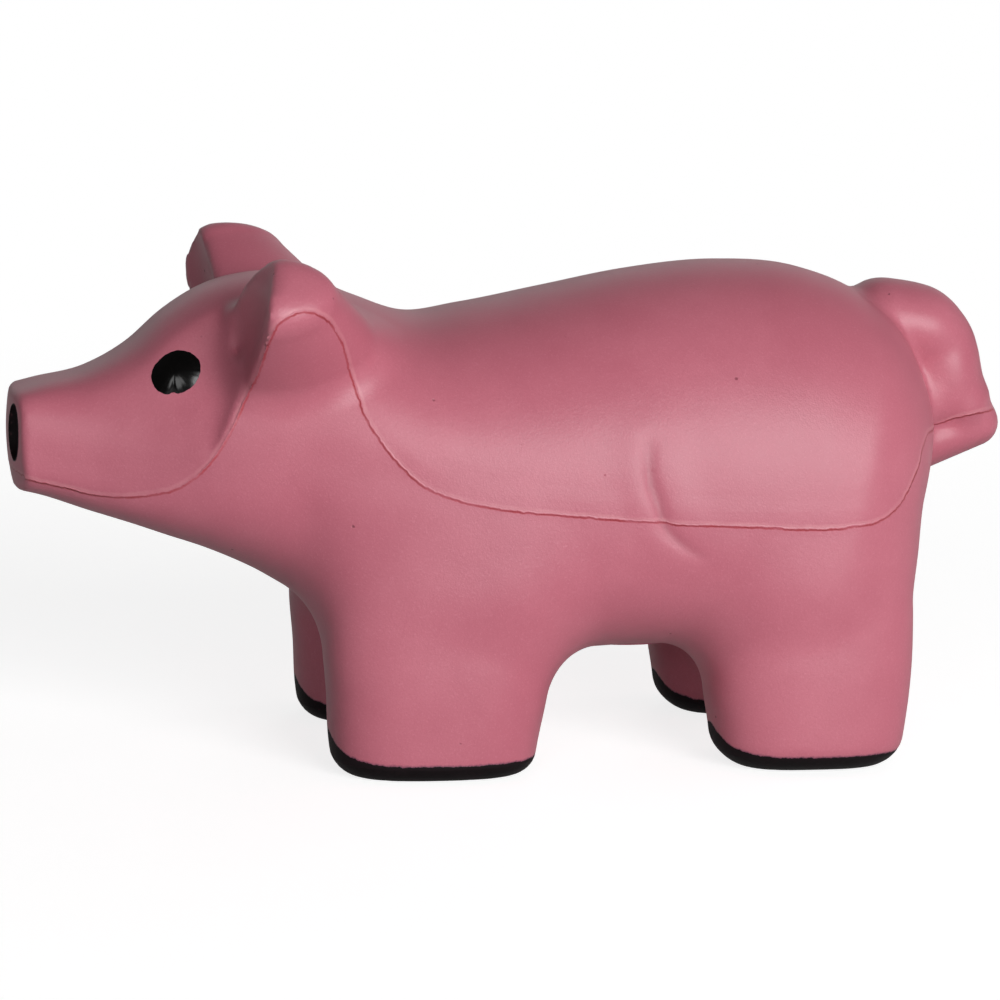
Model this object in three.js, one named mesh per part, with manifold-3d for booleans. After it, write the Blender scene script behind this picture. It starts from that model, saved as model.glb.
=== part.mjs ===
import * as THREE from 'three';
import { mergeVertices } from 'three/addons/utils/BufferGeometryUtils.js';
import Module from 'manifold-3d';

const wasm = await Module();
wasm.setup();

// A soft foam pig with a vibration capsule moulded into its trunk.
// Millimetres, +Z up, snout towards -X, the pig's left side towards -Y.
// Heights are above the ground that the soles stand on.

// Cells of the grid that the foam's skin is worked out on, and how far a vertex may leave its cell
const bodyCell = 3.4;
const fineCell = 2.4;
const acrossCell = 2.86;
const cellReach = 0.2;
// Room round the pig in that grid
const skinRoom = 2.2;

// Fits between pieces
const clearance = 0.3;
const cellPlay = 0.4;
const sleevePlay = 0.15;

// Main sizes of the sculpted pig: snout to rump, across the trunk, and ground to back
const pigLength = 112;
const pigWidth = 47;
const pigHeight = 58.6;

// Foam trunk and head, as shares of those: along the pig, then the levels of the back,
// the belly and the widest line, then the half width. Last, how square the back is
const trunkStations = [
  [-0.533, 0.7307, 0.5444, 0.5973, 0.1745, 4],
  [-0.4973, 0.7512, 0.5307, 0.5939, 0.1892, 3.3],
  [-0.4446, 0.778, 0.4983, 0.5836, 0.2255, 2.75],
  [-0.4, 0.829, 0.4727, 0.5768, 0.2702, 2.5],
  [-0.3652, 0.8908, 0.4505, 0.5836, 0.3085, 2.3],
  [-0.325, 0.9403, 0.4249, 0.6058, 0.3511, 2.2],
  [-0.2759, 0.9676, 0.384, 0.6314, 0.3851, 2.15],
  [-0.2223, 0.9659, 0.327, 0.6485, 0.4064, 2.15],
  [-0.1652, 0.9249, 0.2901, 0.6314, 0.4319, 2.15],
  [-0.1071, 0.8908, 0.256, 0.5973, 0.4574, 2.15],
  [-0.0446, 0.9078, 0.2321, 0.5631, 0.4745, 2.15],
  [0.0446, 0.9437, 0.2135, 0.5392, 0.4872, 2.15],
  [0.1339, 0.9795, 0.2201, 0.529, 0.4936, 2.15],
  [0.233, 1, 0.2218, 0.5188, 0.5021, 2.15],
  [0.3223, 0.9863, 0.2287, 0.5188, 0.4979, 2.15],
  [0.3857, 0.9386, 0.2457, 0.529, 0.4787, 2.15],
  [0.4304, 0.8703, 0.273, 0.5461, 0.4489, 2.15],
  [0.4661, 0.785, 0.2901, 0.5631, 0.4191, 2.15],
];
const bellyFullness = 2.6;
const snoutFace = -0.5268 * pigLength;
const snoutLevel = 0.6621 * pigHeight;
const snoutEdge = 1.2;
const snoutBulge = { across: 43, up: 58 };
const rumpFace = 0.4656 * pigLength;
const rumpEdge = 7.0;
const rumpBulge = 85;
const rumpTuck = { level: 0.7509 * pigHeight, height: 16, depth: 1.9 };

// Legs, as shares too: level, half width across the pig; then level, middle and half length
const legSpread = 0.3011 * pigWidth;
const legFullness = 2.6;
const legAcross = [
  [0, 0.1681],
  [0.1024, 0.1745],
  [0.2389, 0.1787],
  [0.3754, 0.1681],
  [0.4778, 0.117],
  [0.6143, 0.0426],
];
const frontLeg = {
  along: [
    [0, -0.0902, 0.1045],
    [0.0683, -0.0902, 0.1098],
    [0.1536, -0.0875, 0.1152],
    [0.273, -0.0866, 0.1214],
    [0.4096, -0.0848, 0.1161],
    [0.6143, -0.0804, 0.0804],
  ],
  fillet: 6.5,
  edge: 2.3,
};
const rearLeg = {
  along: [
    [0, 0.3143, 0.0995],
    [0.0683, 0.3143, 0.1039],
    [0.1536, 0.3125, 0.11],
    [0.273, 0.3116, 0.1118],
    [0.4096, 0.3089, 0.108],
    [0.6143, 0.3036, 0.0714],
  ],
  fillet: 5.0,
  edge: 3.6,
};
const legTop = 0.6143 * pigHeight;
const soleHeight = 1.8;

// Ears: round-ended wedges that spread from the head, cut flat in front
const earTip = { x: -0.2759 * pigLength, y: 0.4532 * pigWidth, z: 0.9488 * pigHeight, radius: 5.2 };
const earRoot = { x: -0.2366 * pigLength, y: 0.234 * pigWidth, z: 0.8106 * pigHeight, radius: 7.5 };
const earStretch = 0.68;
const earFace = earTip.x - 2.9;
const earFaceTurn = earRoot.y + 2;
const earFaceSlope = { left: 0.15, right: -0.17 };
const earFaceCurl = { level: 56, left: 0.1, right: 0.02 };
const earEdge = 1.6;
const earFillet = 2.0;
const earSlant = { across: 0.7, up: 0.714, reach: 58.5, edge: 1.5 };
const earDish = {
  across: earTip.y - 4.8,
  level: earTip.z - 4.6,
  lean: 0.8,
  width: 5.0,
  height: 7.5,
  depth: 1.5,
};

// Tail: one curl lying flat against the rump
const tailCurl = { x: 0.4429 * pigLength, z: 0.7901 * pigHeight, radius: 5.0, thickness: 4.45 };
const tailWeb = { inside: 0.8, half: 4.6, edge: 2.5 };
const tailTop = {
  x: tailCurl.x - 3.0,
  z: tailCurl.z + 5.6,
  radius: 4.6,
  rootX: tailCurl.x + 1.4,
  rootZ: tailCurl.z + 4.4,
  rootRadius: 4.6,
};
const tailBend = {
  x: tailCurl.x + 7.0,
  z: tailCurl.z - 4.6,
  radius: 4.2,
  rootX: tailCurl.x + 5.0,
  rootZ: tailCurl.z - 0.4,
  rootRadius: 4.2,
};
const tailTip = {
  x: tailCurl.x + 9.4,
  z: tailCurl.z - 7.4,
  radius: 3.1,
  rootX: tailCurl.x + 0.8,
  rootZ: tailCurl.z - 10.3,
  rootRadius: 3.7,
};
const tailFlatness = 0.75;

// Painted eyes and nostrils
const eye = {
  x: -0.3607 * pigLength,
  z: 0.7935 * pigHeight,
  long: 2.95,
  short: 2.65,
  thick: 1.2,
  sink: 0.45,
};
const nostril = { across: 4.7, z: snoutLevel - 0.2, wide: 1.5, tall: 2.5, thick: 0.5, depth: 1.4 };
const nostrilFace = snoutFace + nostril.across ** 2 / snoutBulge.across;
const nostrilDish = { wide: 2.3, tall: 3.3, deep: 1.8 };

// Capsule: battery tube, drum and lid
const capsuleX = 0.1299 * pigLength;
const cellRadius = 5.8;
const cellHeight = 5.4;
const cellCount = 3;
const tubeWall = 1.4;
const neckWall = 2.0;
const drumWall = 1.6;
const drumCorner = 1.5;
const foamUnderDrum = 11.0;

// Battery cap with a bayonet
const capInset = 0.4;
const flangeRadius = 9.5;
const flangeThickness = 1.6;
const gasketThickness = 0.8;
const plugHeight = 2.4;
const lugReach = 1.3;
const lugHeight = 1.1;
const lugHalfAngle = 12;
const lugAngles = [0, 180];
const capTurn = 45;
const coinSlot = { width: 1.6, length: 13, depth: 1.0 };
const contactThickness = 0.4;
const contactSpringHeight = 2.6;
const stripWidth = 2.6;

// Circuit board, switch and push button
const boardThickness = 1.2;
const switchWidth = 6.0;
const switchHeight = 3.3;
const plungerRadius = 1.75;
const plungerRise = 1.3;
const buttonTravel = 1.0;
const stemRadius = 2.5;
const clipThickness = 0.5;
const stemTip = 0.4;
const headRadius = 7.5;
const headThickness = 1.6;
const springWire = 0.25;
const springTurns = 2;

// Motor
const motorRadius = 3.0;
const canWall = 0.35;
const canLength = 10.0;
const endCapThickness = 0.6;
const wireRoom = 1.8;
const sleeveWall = 0.45;
const shaftRadius = 0.5;
const weightRadius = 3.3;
const weightHeight = 3.2;
const leadRadius = 0.45;

// Screws
const bossRadius = 2.4;
const screwRadius = 0.85;
const screwHeadRadius = 1.8;
const screwHeadHeight = 1.3;
const screwLength = 12.0;
const postRadius = 1.9;
const boardScrewRadius = 0.7;
const boardScrewLength = 5.0;
const shellScrewAngles = [60, 180, 300];
const boardScrewAngles = [120, 240];

// Colours
const pink = 0xc56e7e;
const black = 0x0d0c0e;
const steel = 0xb9bcc0;
const brass = 0xc9a24a;
const copper = 0xb8713a;
const whitePlastic = 0xe6e4de;
const greyPlastic = 0x8d9096;

// Smooth curve through stations given as [place, value] pairs, level past both ends
function curveThrough(places, values) {
  const last = places.length - 1;
  const rise = places.slice(1).map((p, i) => (values[i + 1] - values[i]) / (p - places[i]));
  const slope = values.map((v, i) => {
    if (i === 0 || i === last) return rise[Math.min(i, last - 1)];
    const before = places[i] - places[i - 1];
    const after = places[i + 1] - places[i];
    return (rise[i - 1] * after + rise[i] * before) / (before + after);
  });
  return (place) => {
    const at = Math.min(Math.max(place, places[0]), places[last]);
    let i = 0;
    while (i < last - 1 && at > places[i + 1]) i += 1;
    const step = places[i + 1] - places[i];
    const t = (at - places[i]) / step;
    const ends = values[i] * (1 + 2 * t) * (1 - t) ** 2 + values[i + 1] * (3 - 2 * t) * t * t;
    return ends + step * (slope[i] * t * (1 - t) ** 2 - slope[i + 1] * t * t * (1 - t));
  };
}

function columns(table) {
  const places = table.map((row) => row[0]);
  return table[0].slice(1).map((_, k) => curveThrough(places, table.map((row) => row[k + 1])));
}

// Distances, negative inside: union and intersection with a round of radius r
function join(a, b, r) {
  return Math.max(r, Math.min(a, b)) - Math.hypot(Math.max(r - a, 0), Math.max(r - b, 0));
}

function meet(a, b, r) {
  return Math.min(-r, Math.max(a, b)) + Math.hypot(Math.max(a + r, 0), Math.max(b + r, 0));
}

// Distance to the oval |u/a|^n + |v/b|^n = 1
function oval(u, a, v, b, n) {
  const pu = Math.abs(u) / a;
  const pv = Math.abs(v) / b;
  const r = (pu ** n + pv ** n + 1e-12) ** (1 / n);
  return (r - 1) / Math.hypot((pu / r) ** (n - 1) / a, (pv / r) ** (n - 1) / b, 1e-4);
}

// Distance to a bar from point a to point b whose radius runs from ra to rb
function bar(p, a, b, ra, rb) {
  const d = b.map((v, k) => v - a[k]);
  const q = p.map((v, k) => v - a[k]);
  const along = (q[0] * d[0] + q[1] * d[1] + q[2] * d[2]) / (d[0] ** 2 + d[1] ** 2 + d[2] ** 2);
  const t = Math.min(Math.max(along, 0), 1);
  return Math.hypot(q[0] - t * d[0], q[1] - t * d[1], q[2] - t * d[2]) - ra - t * (rb - ra);
}

const scaled = (table, ...sizes) => table.map((row) => row.map((share, k) => share * sizes[k]));
const [trunkTop, trunkBottom, trunkWide, trunkHalf, backFullness] = columns(
  scaled(trunkStations, pigLength, pigHeight, pigHeight, pigHeight, pigWidth, 1),
);
const [legHalf] = columns(scaled(legAcross, pigHeight, pigWidth));
for (const leg of [frontLeg, rearLeg]) {
  leg.curves = columns(scaled(leg.along, pigHeight, pigLength, pigLength));
}

function trunkField(x, y, z) {
  const level = trunkWide(x);
  const above = z > level;
  const height = above ? trunkTop(x) - level : level - trunkBottom(x);
  const fullness = above ? backFullness(x) : bellyFullness;
  const tube = oval(y, trunkHalf(x), z - level, height, fullness);
  const snout = snoutFace - x + y ** 2 / snoutBulge.across + (z - snoutLevel) ** 2 / snoutBulge.up;
  const tuck = rumpTuck.depth * Math.max(0, (rumpTuck.level - z) / rumpTuck.height) ** 2;
  const rump = x - rumpFace + y ** 2 / rumpBulge + tuck;
  return meet(meet(tube, snout, snoutEdge), rump, rumpEdge);
}

function legField(leg, x, y, z) {
  const [middle, half] = leg.curves;
  const column = oval(x - middle(z), half(z), Math.abs(y) - legSpread, legHalf(z), legFullness);
  return meet(meet(column, -z, leg.edge), z - legTop, 4);
}

function earField(x, y, z) {
  const across = Math.abs(y);
  const wedge = bar(
    [x * earStretch, across, z],
    [earRoot.x * earStretch, earRoot.y, earRoot.z],
    [earTip.x * earStretch, earTip.y, earTip.z],
    earRoot.radius,
    earTip.radius,
  );
  const slant = earSlant.across * across + earSlant.up * z - earSlant.reach;
  const side = y < 0 ? 'left' : 'right';
  const curl = earFaceCurl[side] * Math.max(0, z - earFaceCurl.level) ** 2;
  const face = earFace + earFaceSlope[side] * (across - earFaceTurn) + curl - x;
  return meet(meet(wedge, slant, earSlant.edge), face, earEdge);
}

function tailField(x, y, z) {
  const out = Math.hypot(x - tailCurl.x, z - tailCurl.z);
  const flat = y * tailFlatness;
  const curl = Math.hypot(out - tailCurl.radius, flat) - tailCurl.thickness;
  const web = meet(out - tailCurl.radius - tailWeb.inside, Math.abs(y) - tailWeb.half, tailWeb.edge);
  const [top, bend, tip] = [tailTop, tailBend, tailTip].map((part) => bar(
    [x, flat, z], [part.x, 0, part.z], [part.rootX, 0, part.rootZ], part.radius, part.rootRadius,
  ));
  return join(join(join(join(curl, top, 1.5), web, 1.5), bend, 1.0), tip, 0.8);
}

function pigField(x, y, z) {
  let field = trunkField(x, y, z);
  for (const leg of [frontLeg, rearLeg]) field = join(field, legField(leg, x, y, z), leg.fillet);
  field = join(field, earField(x, y, z), earFillet);
  return join(field, tailField(x, y, z), 1.2);
}

// Grid lines: each stretch runs from its start to the next one's in steps near its size
function gridLines(stretches) {
  const lines = [];
  for (let i = 0; i + 1 < stretches.length; i += 1) {
    const [from, step] = stretches[i];
    const to = stretches[i + 1][0];
    const count = Math.round((to - from) / step);
    for (let k = 0; k < count; k += 1) lines.push(from + ((to - from) * k) / count);
  }
  lines.push(stretches[stretches.length - 1][0]);
  return lines;
}

function slopeOf(field, p) {
  const h = 0.02;
  return [0, 1, 2].map((k) => {
    const up = p.slice();
    const down = p.slice();
    up[k] += h;
    down[k] -= h;
    return (field(...up) - field(...down)) / (2 * h);
  });
}

// Moves a point along the field's slope towards the surface, kept between two corners
function settle(field, start, low, high) {
  let p = start.slice();
  for (let pass = 0; pass < 5; pass += 1) {
    const g = slopeOf(field, p);
    const step = field(...p) / (g[0] ** 2 + g[1] ** 2 + g[2] ** 2 + 1e-9);
    p = p.map((v, k) => Math.min(Math.max(v - g[k] * step, low[k]), high[k]));
  }
  return p;
}

// Groups the crossed edges of one grid cell by the sheet of surface that they belong to:
// two crossed edges of a cell's face share a sheet, and of four, the two at each inside corner
function sheetsIn(cell, isInside, edgeBetween) {
  const leader = new Map();
  const first = (edge) => (leader.get(edge) === edge ? edge : first(leader.get(edge)));
  for (let face = 0; face < 6; face += 1) {
    const axis = face % 3;
    const corners = [[0, 0], [1, 0], [1, 1], [0, 1]].map(([u, v]) => {
      const corner = cell.slice();
      corner[axis] += face < 3 ? 0 : 1;
      corner[(axis + 1) % 3] += u;
      corner[(axis + 2) % 3] += v;
      return corner;
    });
    const inside = corners.map(isInside);
    const edges = corners.map((corner, n) => edgeBetween(corner, corners[(n + 1) % 4]));
    const crossed = edges.filter((_, n) => inside[n] !== inside[(n + 1) % 4]);
    for (const edge of crossed) leader.set(edge, leader.get(edge) ?? edge);
    if (crossed.length === 2) leader.set(first(crossed[0]), first(crossed[1]));
    if (crossed.length < 4) continue;
    for (let n = 0; n < 4; n += 1) {
      if (inside[n]) leader.set(first(edges[n]), first(edges[(n + 3) % 4]));
    }
  }
  const sheets = new Map();
  for (const edge of leader.keys()) {
    const sheet = sheets.get(first(edge)) ?? [];
    sheet.push(edge);
    sheets.set(first(edge), sheet);
  }
  return [...sheets.values()];
}

// Closed surface where the field is zero: a vertex for each sheet of it in a grid cell,
// and four of them round each crossed grid edge
function surfaceOf(field, lines) {
  const size = lines.map((line) => line.length);
  const at = ([i, j, k]) => (i * size[1] + j) * size[2] + k;
  const values = new Float64Array(size[0] * size[1] * size[2]);
  const each = (visit) => {
    for (let i = 0; i < size[0]; i += 1) {
      for (let j = 0; j < size[1]; j += 1) {
        for (let k = 0; k < size[2]; k += 1) visit([i, j, k]);
      }
    }
  };
  each((c) => {
    values[at(c)] = field(lines[0][c[0]], lines[1][c[1]], lines[2][c[2]]);
  });
  const isInside = (c) => values[at(c)] < 0;
  const edgeBetween = (c, other) => {
    const axis = c.findIndex((v, k) => v !== other[k]);
    return 3 * Math.min(at(c), at(other)) + axis;
  };
  const crossings = new Map();
  const cells = new Map();
  each((c) => {
    for (let axis = 0; axis < 3; axis += 1) {
      const other = c.slice();
      other[axis] += 1;
      if (other[axis] >= size[axis] || isInside(c) === isInside(other)) continue;
      const place = c.map((v, k) => lines[k][v]);
      const share = values[at(c)] / (values[at(c)] - values[at(other)]);
      place[axis] += share * (lines[axis][other[axis]] - place[axis]);
      const around = [[-1, -1], [0, -1], [0, 0], [-1, 0]].map(([u, v]) => {
        const cell = c.slice();
        cell[(axis + 1) % 3] += u;
        cell[(axis + 2) % 3] += v;
        cells.set(at(cell), cell);
        return at(cell);
      });
      crossings.set(3 * at(c) + axis, { place, around: isInside(c) ? around : around.reverse() });
    }
  });
  const vertexOf = new Map();
  const points = [];
  for (const [key, cell] of cells) {
    const low = cell.map((v, k) => lines[k][v] - cellReach);
    const high = cell.map((v, k) => lines[k][v + 1] + cellReach);
    for (const sheet of sheetsIn(cell, isInside, edgeBetween)) {
      const places = sheet.map((edge) => crossings.get(edge).place);
      const middle = [0, 1, 2].map((k) => places.reduce((sum, p) => sum + p[k], 0) / places.length);
      for (const edge of sheet) vertexOf.set(`${key} ${edge}`, points.length);
      points.push(settle(field, middle, low, high));
    }
  }
  const index = [];
  for (const [edge, { around }] of crossings) {
    const [a, b, c, d] = around.map((key) => vertexOf.get(`${key} ${edge}`));
    const apart = (i, j) => Math.hypot(...points[i].map((v, k) => v - points[j][k]));
    if (apart(a, c) < apart(b, d)) index.push(a, b, c, a, c, d);
    else index.push(a, b, d, b, c, d);
  }
  const geometry = new THREE.BufferGeometry();
  geometry.setAttribute('position', new THREE.Float32BufferAttribute(points.flat(), 3));
  geometry.setIndex(index);
  return geometry;
}

// Closed mesh to a solid that can be cut and joined, and back
function solid(geometry) {
  const bare = geometry.clone();
  bare.deleteAttribute('normal');
  bare.deleteAttribute('uv');
  const merged = mergeVertices(bare, 1e-4);
  const index = merged.index.array;
  const triVerts = [];
  for (let i = 0; i < index.length; i += 3) {
    const [a, b, c] = [index[i], index[i + 1], index[i + 2]];
    if (a !== b && b !== c && c !== a) triVerts.push(a, b, c);
  }
  const vertProperties = Float32Array.from(merged.attributes.position.array);
  const mesh = new wasm.Mesh({ numProp: 3, vertProperties, triVerts: Uint32Array.from(triVerts) });
  return new wasm.Manifold(mesh);
}

function shapeOf(body) {
  const mesh = body.getMesh();
  const geometry = new THREE.BufferGeometry();
  geometry.setAttribute('position', new THREE.BufferAttribute(mesh.vertProperties, 3));
  geometry.setIndex(new THREE.BufferAttribute(mesh.triVerts, 1));
  geometry.computeVertexNormals();
  return geometry;
}

// Solid of revolution about Z from [radius, height] pairs; a profile off the axis is closed
function turned(profile, sides = 28) {
  const ring = profile.slice();
  if (ring[0][0] > 0) ring.push(ring[0]);
  let area = 0;
  ring.forEach(([r, h], i) => {
    const [nextR, nextH] = ring[(i + 1) % ring.length];
    area += r * nextH - nextR * h;
  });
  if (area < 0) ring.reverse();
  const geometry = new THREE.LatheGeometry(ring.map(([r, h]) => new THREE.Vector2(r, h)), sides);
  return geometry.rotateX(Math.PI / 2);
}

function disc(radius, low, high, sides = 28) {
  return turned([[0, low], [radius, low], [radius, high], [0, high]], sides);
}

function ring(inner, outer, low, high, sides = 28) {
  return turned([[inner, low], [outer, low], [outer, high], [inner, high]], sides);
}

function block(x0, x1, y0, y1, z0, z1) {
  const geometry = new THREE.BoxGeometry(x1 - x0, y1 - y0, z1 - z0);
  return geometry.translate((x0 + x1) / 2, (y0 + y1) / 2, (z0 + z1) / 2);
}

// Part of a ring between two angles in degrees
function sector(inner, outer, low, high, from, to) {
  const [start, end] = [THREE.MathUtils.degToRad(from), THREE.MathUtils.degToRad(to)];
  const outline = new THREE.Shape();
  outline.absarc(0, 0, outer, start, end, false);
  outline.absarc(0, 0, inner, end, start, true);
  outline.closePath();
  const options = { depth: high - low, bevelEnabled: false, curveSegments: 8 };
  return new THREE.ExtrudeGeometry(outline, options).translate(0, 0, low);
}

// Round bar of the given radius along a curve
function swept(path, radius, steps, sides) {
  const outline = new THREE.Shape();
  outline.absarc(0, 0, radius, 0, Math.PI * 2, false);
  const options = { steps, extrudePath: path, bevelEnabled: false, curveSegments: sides };
  return new THREE.ExtrudeGeometry(outline, options);
}

class Coil extends THREE.Curve {
  constructor(turns, lowRadius, highRadius, low, high) {
    super();
    Object.assign(this, { turns, lowRadius, highRadius, low, high });
  }

  getPoint(t, target = new THREE.Vector3()) {
    const angle = t * this.turns * Math.PI * 2;
    const radius = THREE.MathUtils.lerp(this.lowRadius, this.highRadius, t);
    const height = THREE.MathUtils.lerp(this.low, this.high, t);
    return target.set(radius * Math.cos(angle), radius * Math.sin(angle), height);
  }
}

function onCircle(radius, angle) {
  const turn = THREE.MathUtils.degToRad(angle);
  return [radius * Math.cos(turn), radius * Math.sin(turn)];
}

function piece(name, geometry, color, roughness = 0.6, metalness = 0) {
  const mesh = new THREE.Mesh(geometry, new THREE.MeshStandardMaterial({ color, roughness, metalness }));
  mesh.name = name;
  return mesh;
}

const metal = (name, geometry, color = steel) => piece(name, geometry, color, 0.3, 1);

// Levels up the capsule, each standing on the one before
const bellyLevel = trunkBottom(capsuleX);
const capFace = bellyLevel + capInset;
const flangeTop = capFace + flangeThickness;
const neckEnd = flangeTop + gasketThickness;
const plugTop = neckEnd + plugHeight;
const plateTop = plugTop + contactThickness;
const cellsBottom = plateTop + contactSpringHeight;
const cellsTop = cellsBottom + cellCount * cellHeight;
const contactTop = cellsTop + contactThickness;
const boardBottom = contactTop + clearance;
const boardTop = boardBottom + boardThickness;
const switchTop = boardTop + switchHeight;
const plungerTop = switchTop + plungerRise;
const clipTop = plungerTop + stemTip + clipThickness;
const ceiling = clipTop + clearance;
const lidTop = ceiling + drumWall;
const headBottom = lidTop + buttonTravel + springTurns * 2 * springWire + 0.2;
const headTop = headBottom + headThickness;
const drumBottom = bellyLevel + foamUnderDrum;
const drumFloor = drumBottom + drumWall;
const shellSplit = boardBottom - 1.0;

// Radii of the capsule, from the cells and the motor beside them
const tubeInner = cellRadius + cellPlay;
const tubeOuter = tubeInner + tubeWall;
const neckOuter = tubeInner + neckWall;
const sleeveOuter = motorRadius + sleevePlay + sleeveWall;
const drumInner = tubeOuter + 2 * (sleeveOuter + clearance);
const drumOuter = drumInner + drumWall;
const motorOrbit = (tubeOuter + drumInner) / 2;
const bossOrbit = drumInner - bossRadius + 0.2;
const postOrbit = drumInner - bossRadius - postRadius;
const plugRadius = tubeInner - clearance;
const lugRadius = plugRadius + lugReach;
const stripInner = tubeInner + 0.1;
const stripOuter = stripInner + contactThickness;

// Levels of the bayonet lugs and of the motor
const lugLow = neckEnd + (plugHeight - lugHeight) / 2;
const lugHigh = lugLow + lugHeight;
const endCapBottom = drumFloor + wireRoom;
const canBottom = endCapBottom + endCapThickness;
const canTop = canBottom + canLength;
const weightBottom = canTop + 1.0;
const weightTop = weightBottom + weightHeight;

// Space in the foam that the capsule fills
function capsuleRoom() {
  const drumRoom = drumOuter + clearance;
  const headRoom = headRadius + clearance + 0.1;
  const neckRoom = neckOuter + clearance;
  const capRoom = flangeRadius + clearance;
  const outline = [
    [0, bellyLevel - 5],
    [capRoom, bellyLevel - 5],
    [capRoom, flangeTop + clearance],
    [neckRoom, flangeTop + clearance],
    [neckRoom, drumBottom - clearance],
    [drumRoom, drumBottom - clearance],
    [drumRoom, lidTop + clearance],
    [headRoom, lidTop + clearance],
    [headRoom, headTop + clearance],
    [0, headTop + clearance],
  ];
  return turned(outline).translate(capsuleX, 0, 0);
}

// Point on the foam's skin beside the given place on the head, and the way out of it
function skinBeside(x, z, side) {
  let reach = 0;
  while (pigField(x, side * reach, z) < 0) reach += 0.01;
  const point = [x, side * reach, z];
  const out = new THREE.Vector3(...slopeOf(pigField, point)).normalize();
  return { point: new THREE.Vector3(...point), out };
}

// Lens lying in the skin: grown by a margin it is also its pocket in the foam
function eyeLens(side, margin) {
  const { point, out } = skinBeside(eye.x, eye.z, side);
  const lens = new THREE.SphereGeometry(1, 18, 10);
  lens.scale(eye.long + margin, eye.short + margin, eye.thick + margin);
  const turn = new THREE.Quaternion().setFromUnitVectors(new THREE.Vector3(0, 0, 1), out);
  const centre = point.clone().addScaledVector(out, -eye.sink);
  return lens.applyQuaternion(turn).translate(centre.x, centre.y, centre.z);
}

function nostrilLens(side, margin) {
  const lens = new THREE.SphereGeometry(1, 14, 8);
  lens.scale(nostril.thick + margin, nostril.wide + margin, nostril.tall + margin);
  return lens.translate(nostrilFace + nostril.depth, side * nostril.across, nostril.z);
}

// Dimple round a nostril, open at the snout's face
function nostrilDimple(side) {
  const dimple = new THREE.SphereGeometry(1, 14, 8);
  dimple.scale(nostrilDish.deep, nostrilDish.wide, nostrilDish.tall);
  return dimple.translate(nostrilFace, side * nostril.across, nostril.z);
}

// Leaning hollow in the flat front of an ear
function earHollow(side) {
  const { across, level, lean, width, height, depth } = earDish;
  const slope = side < 0 ? earFaceSlope.left : earFaceSlope.right;
  const place = new THREE.Matrix4().set(
    depth, slope * width, slope * lean * height, earFace + slope * (across - earFaceTurn),
    0, side * width, side * lean * height, side * across,
    0, 0, height, level,
    0, 0, 0, 1,
  );
  const hollow = new THREE.SphereGeometry(1, 14, 10).applyMatrix4(place);
  if (place.determinant() < 0) hollow.index.array.reverse();
  return hollow;
}

const sides = { left: -1, right: 1 };

function foamPig() {
  const curlEnd = tailCurl.x + tailCurl.radius + tailCurl.thickness;
  const end = Math.max(tailTip.x + tailTip.radius, curlEnd) + skinRoom;
  const wide = Math.max(earTip.y + earTip.radius, pigWidth / 2) + skinRoom;
  const high = Math.max(earTip.z + earTip.radius, pigHeight) + skinRoom;
  const tailStart = tailCurl.x - tailCurl.radius - skinRoom;
  const lines = [
    gridLines([
      [snoutFace - skinRoom, bodyCell],
      [earFace - 4, fineCell],
      [earRoot.x + 7, bodyCell],
      [tailStart, fineCell],
      [end],
    ]),
    gridLines([[-wide, acrossCell], [wide]]),
    gridLines([[-skinRoom, bodyCell], [tailCurl.z - 4, fineCell], [high]]),
  ];
  const surface = surfaceOf(pigField, lines);
  const position = surface.attributes.position;
  for (let i = 0; i < position.count; i += 1) {
    if (position.getZ(i) < 0.04) position.setZ(i, 0);
  }
  return solid(surface);
}

function foamParts() {
  const group = new THREE.Group();
  const pig = foamPig();
  const far = 80;
  let foam = pig.subtract(solid(block(-far, far, -far, far, -1, soleHeight)));
  foam = foam.subtract(solid(capsuleRoom()));
  for (const [side, sign] of Object.entries(sides)) {
    foam = foam.subtract(solid(eyeLens(sign, clearance)));
    foam = foam.subtract(solid(nostrilLens(sign, clearance))).subtract(solid(nostrilDimple(sign)));
    foam = foam.subtract(solid(earHollow(sign)));
    group.add(piece(`eye_${side}`, eyeLens(sign, 0), black, 0.15));
    group.add(piece(`nostril_${side}`, nostrilLens(sign, 0), black, 0.5));
  }
  group.add(piece('foam_body', shapeOf(foam), pink, 0.62));
  for (const [end, leg] of Object.entries({ front: frontLeg, rear: rearLeg })) {
    const [middle, half] = leg.curves.map((curve) => curve(0));
    const reach = half + leg.edge;
    const wide = legHalf(0) + leg.edge;
    for (const [side, sign] of Object.entries(sides)) {
      const y = sign * legSpread;
      const foot = block(middle - reach, middle + reach, y - wide, y + wide, -1, soleHeight);
      group.add(piece(`sole_${end}_${side}`, shapeOf(pig.intersect(solid(foot))), black, 0.4));
    }
  }
  return group;
}

// Screw with a crossed recess, head top at the given level
function screw(name, radius, length, crown, headHeight, top) {
  const under = top - headHeight;
  const body = solid(turned([
    [0, under - length], [radius * 0.6, under - length], [radius, under - length + radius],
    [radius, under], [crown, under], [crown, top - 0.3], [crown - 0.3, top], [0, top],
  ], 16));
  const arm = crown * 0.6;
  const cross = solid(block(-arm, arm, -0.25, 0.25, top - 0.6, top + 1));
  const other = solid(block(-0.25, 0.25, -arm, arm, top - 0.6, top + 1));
  return metal(name, shapeOf(body.subtract(cross).subtract(other)));
}

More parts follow.
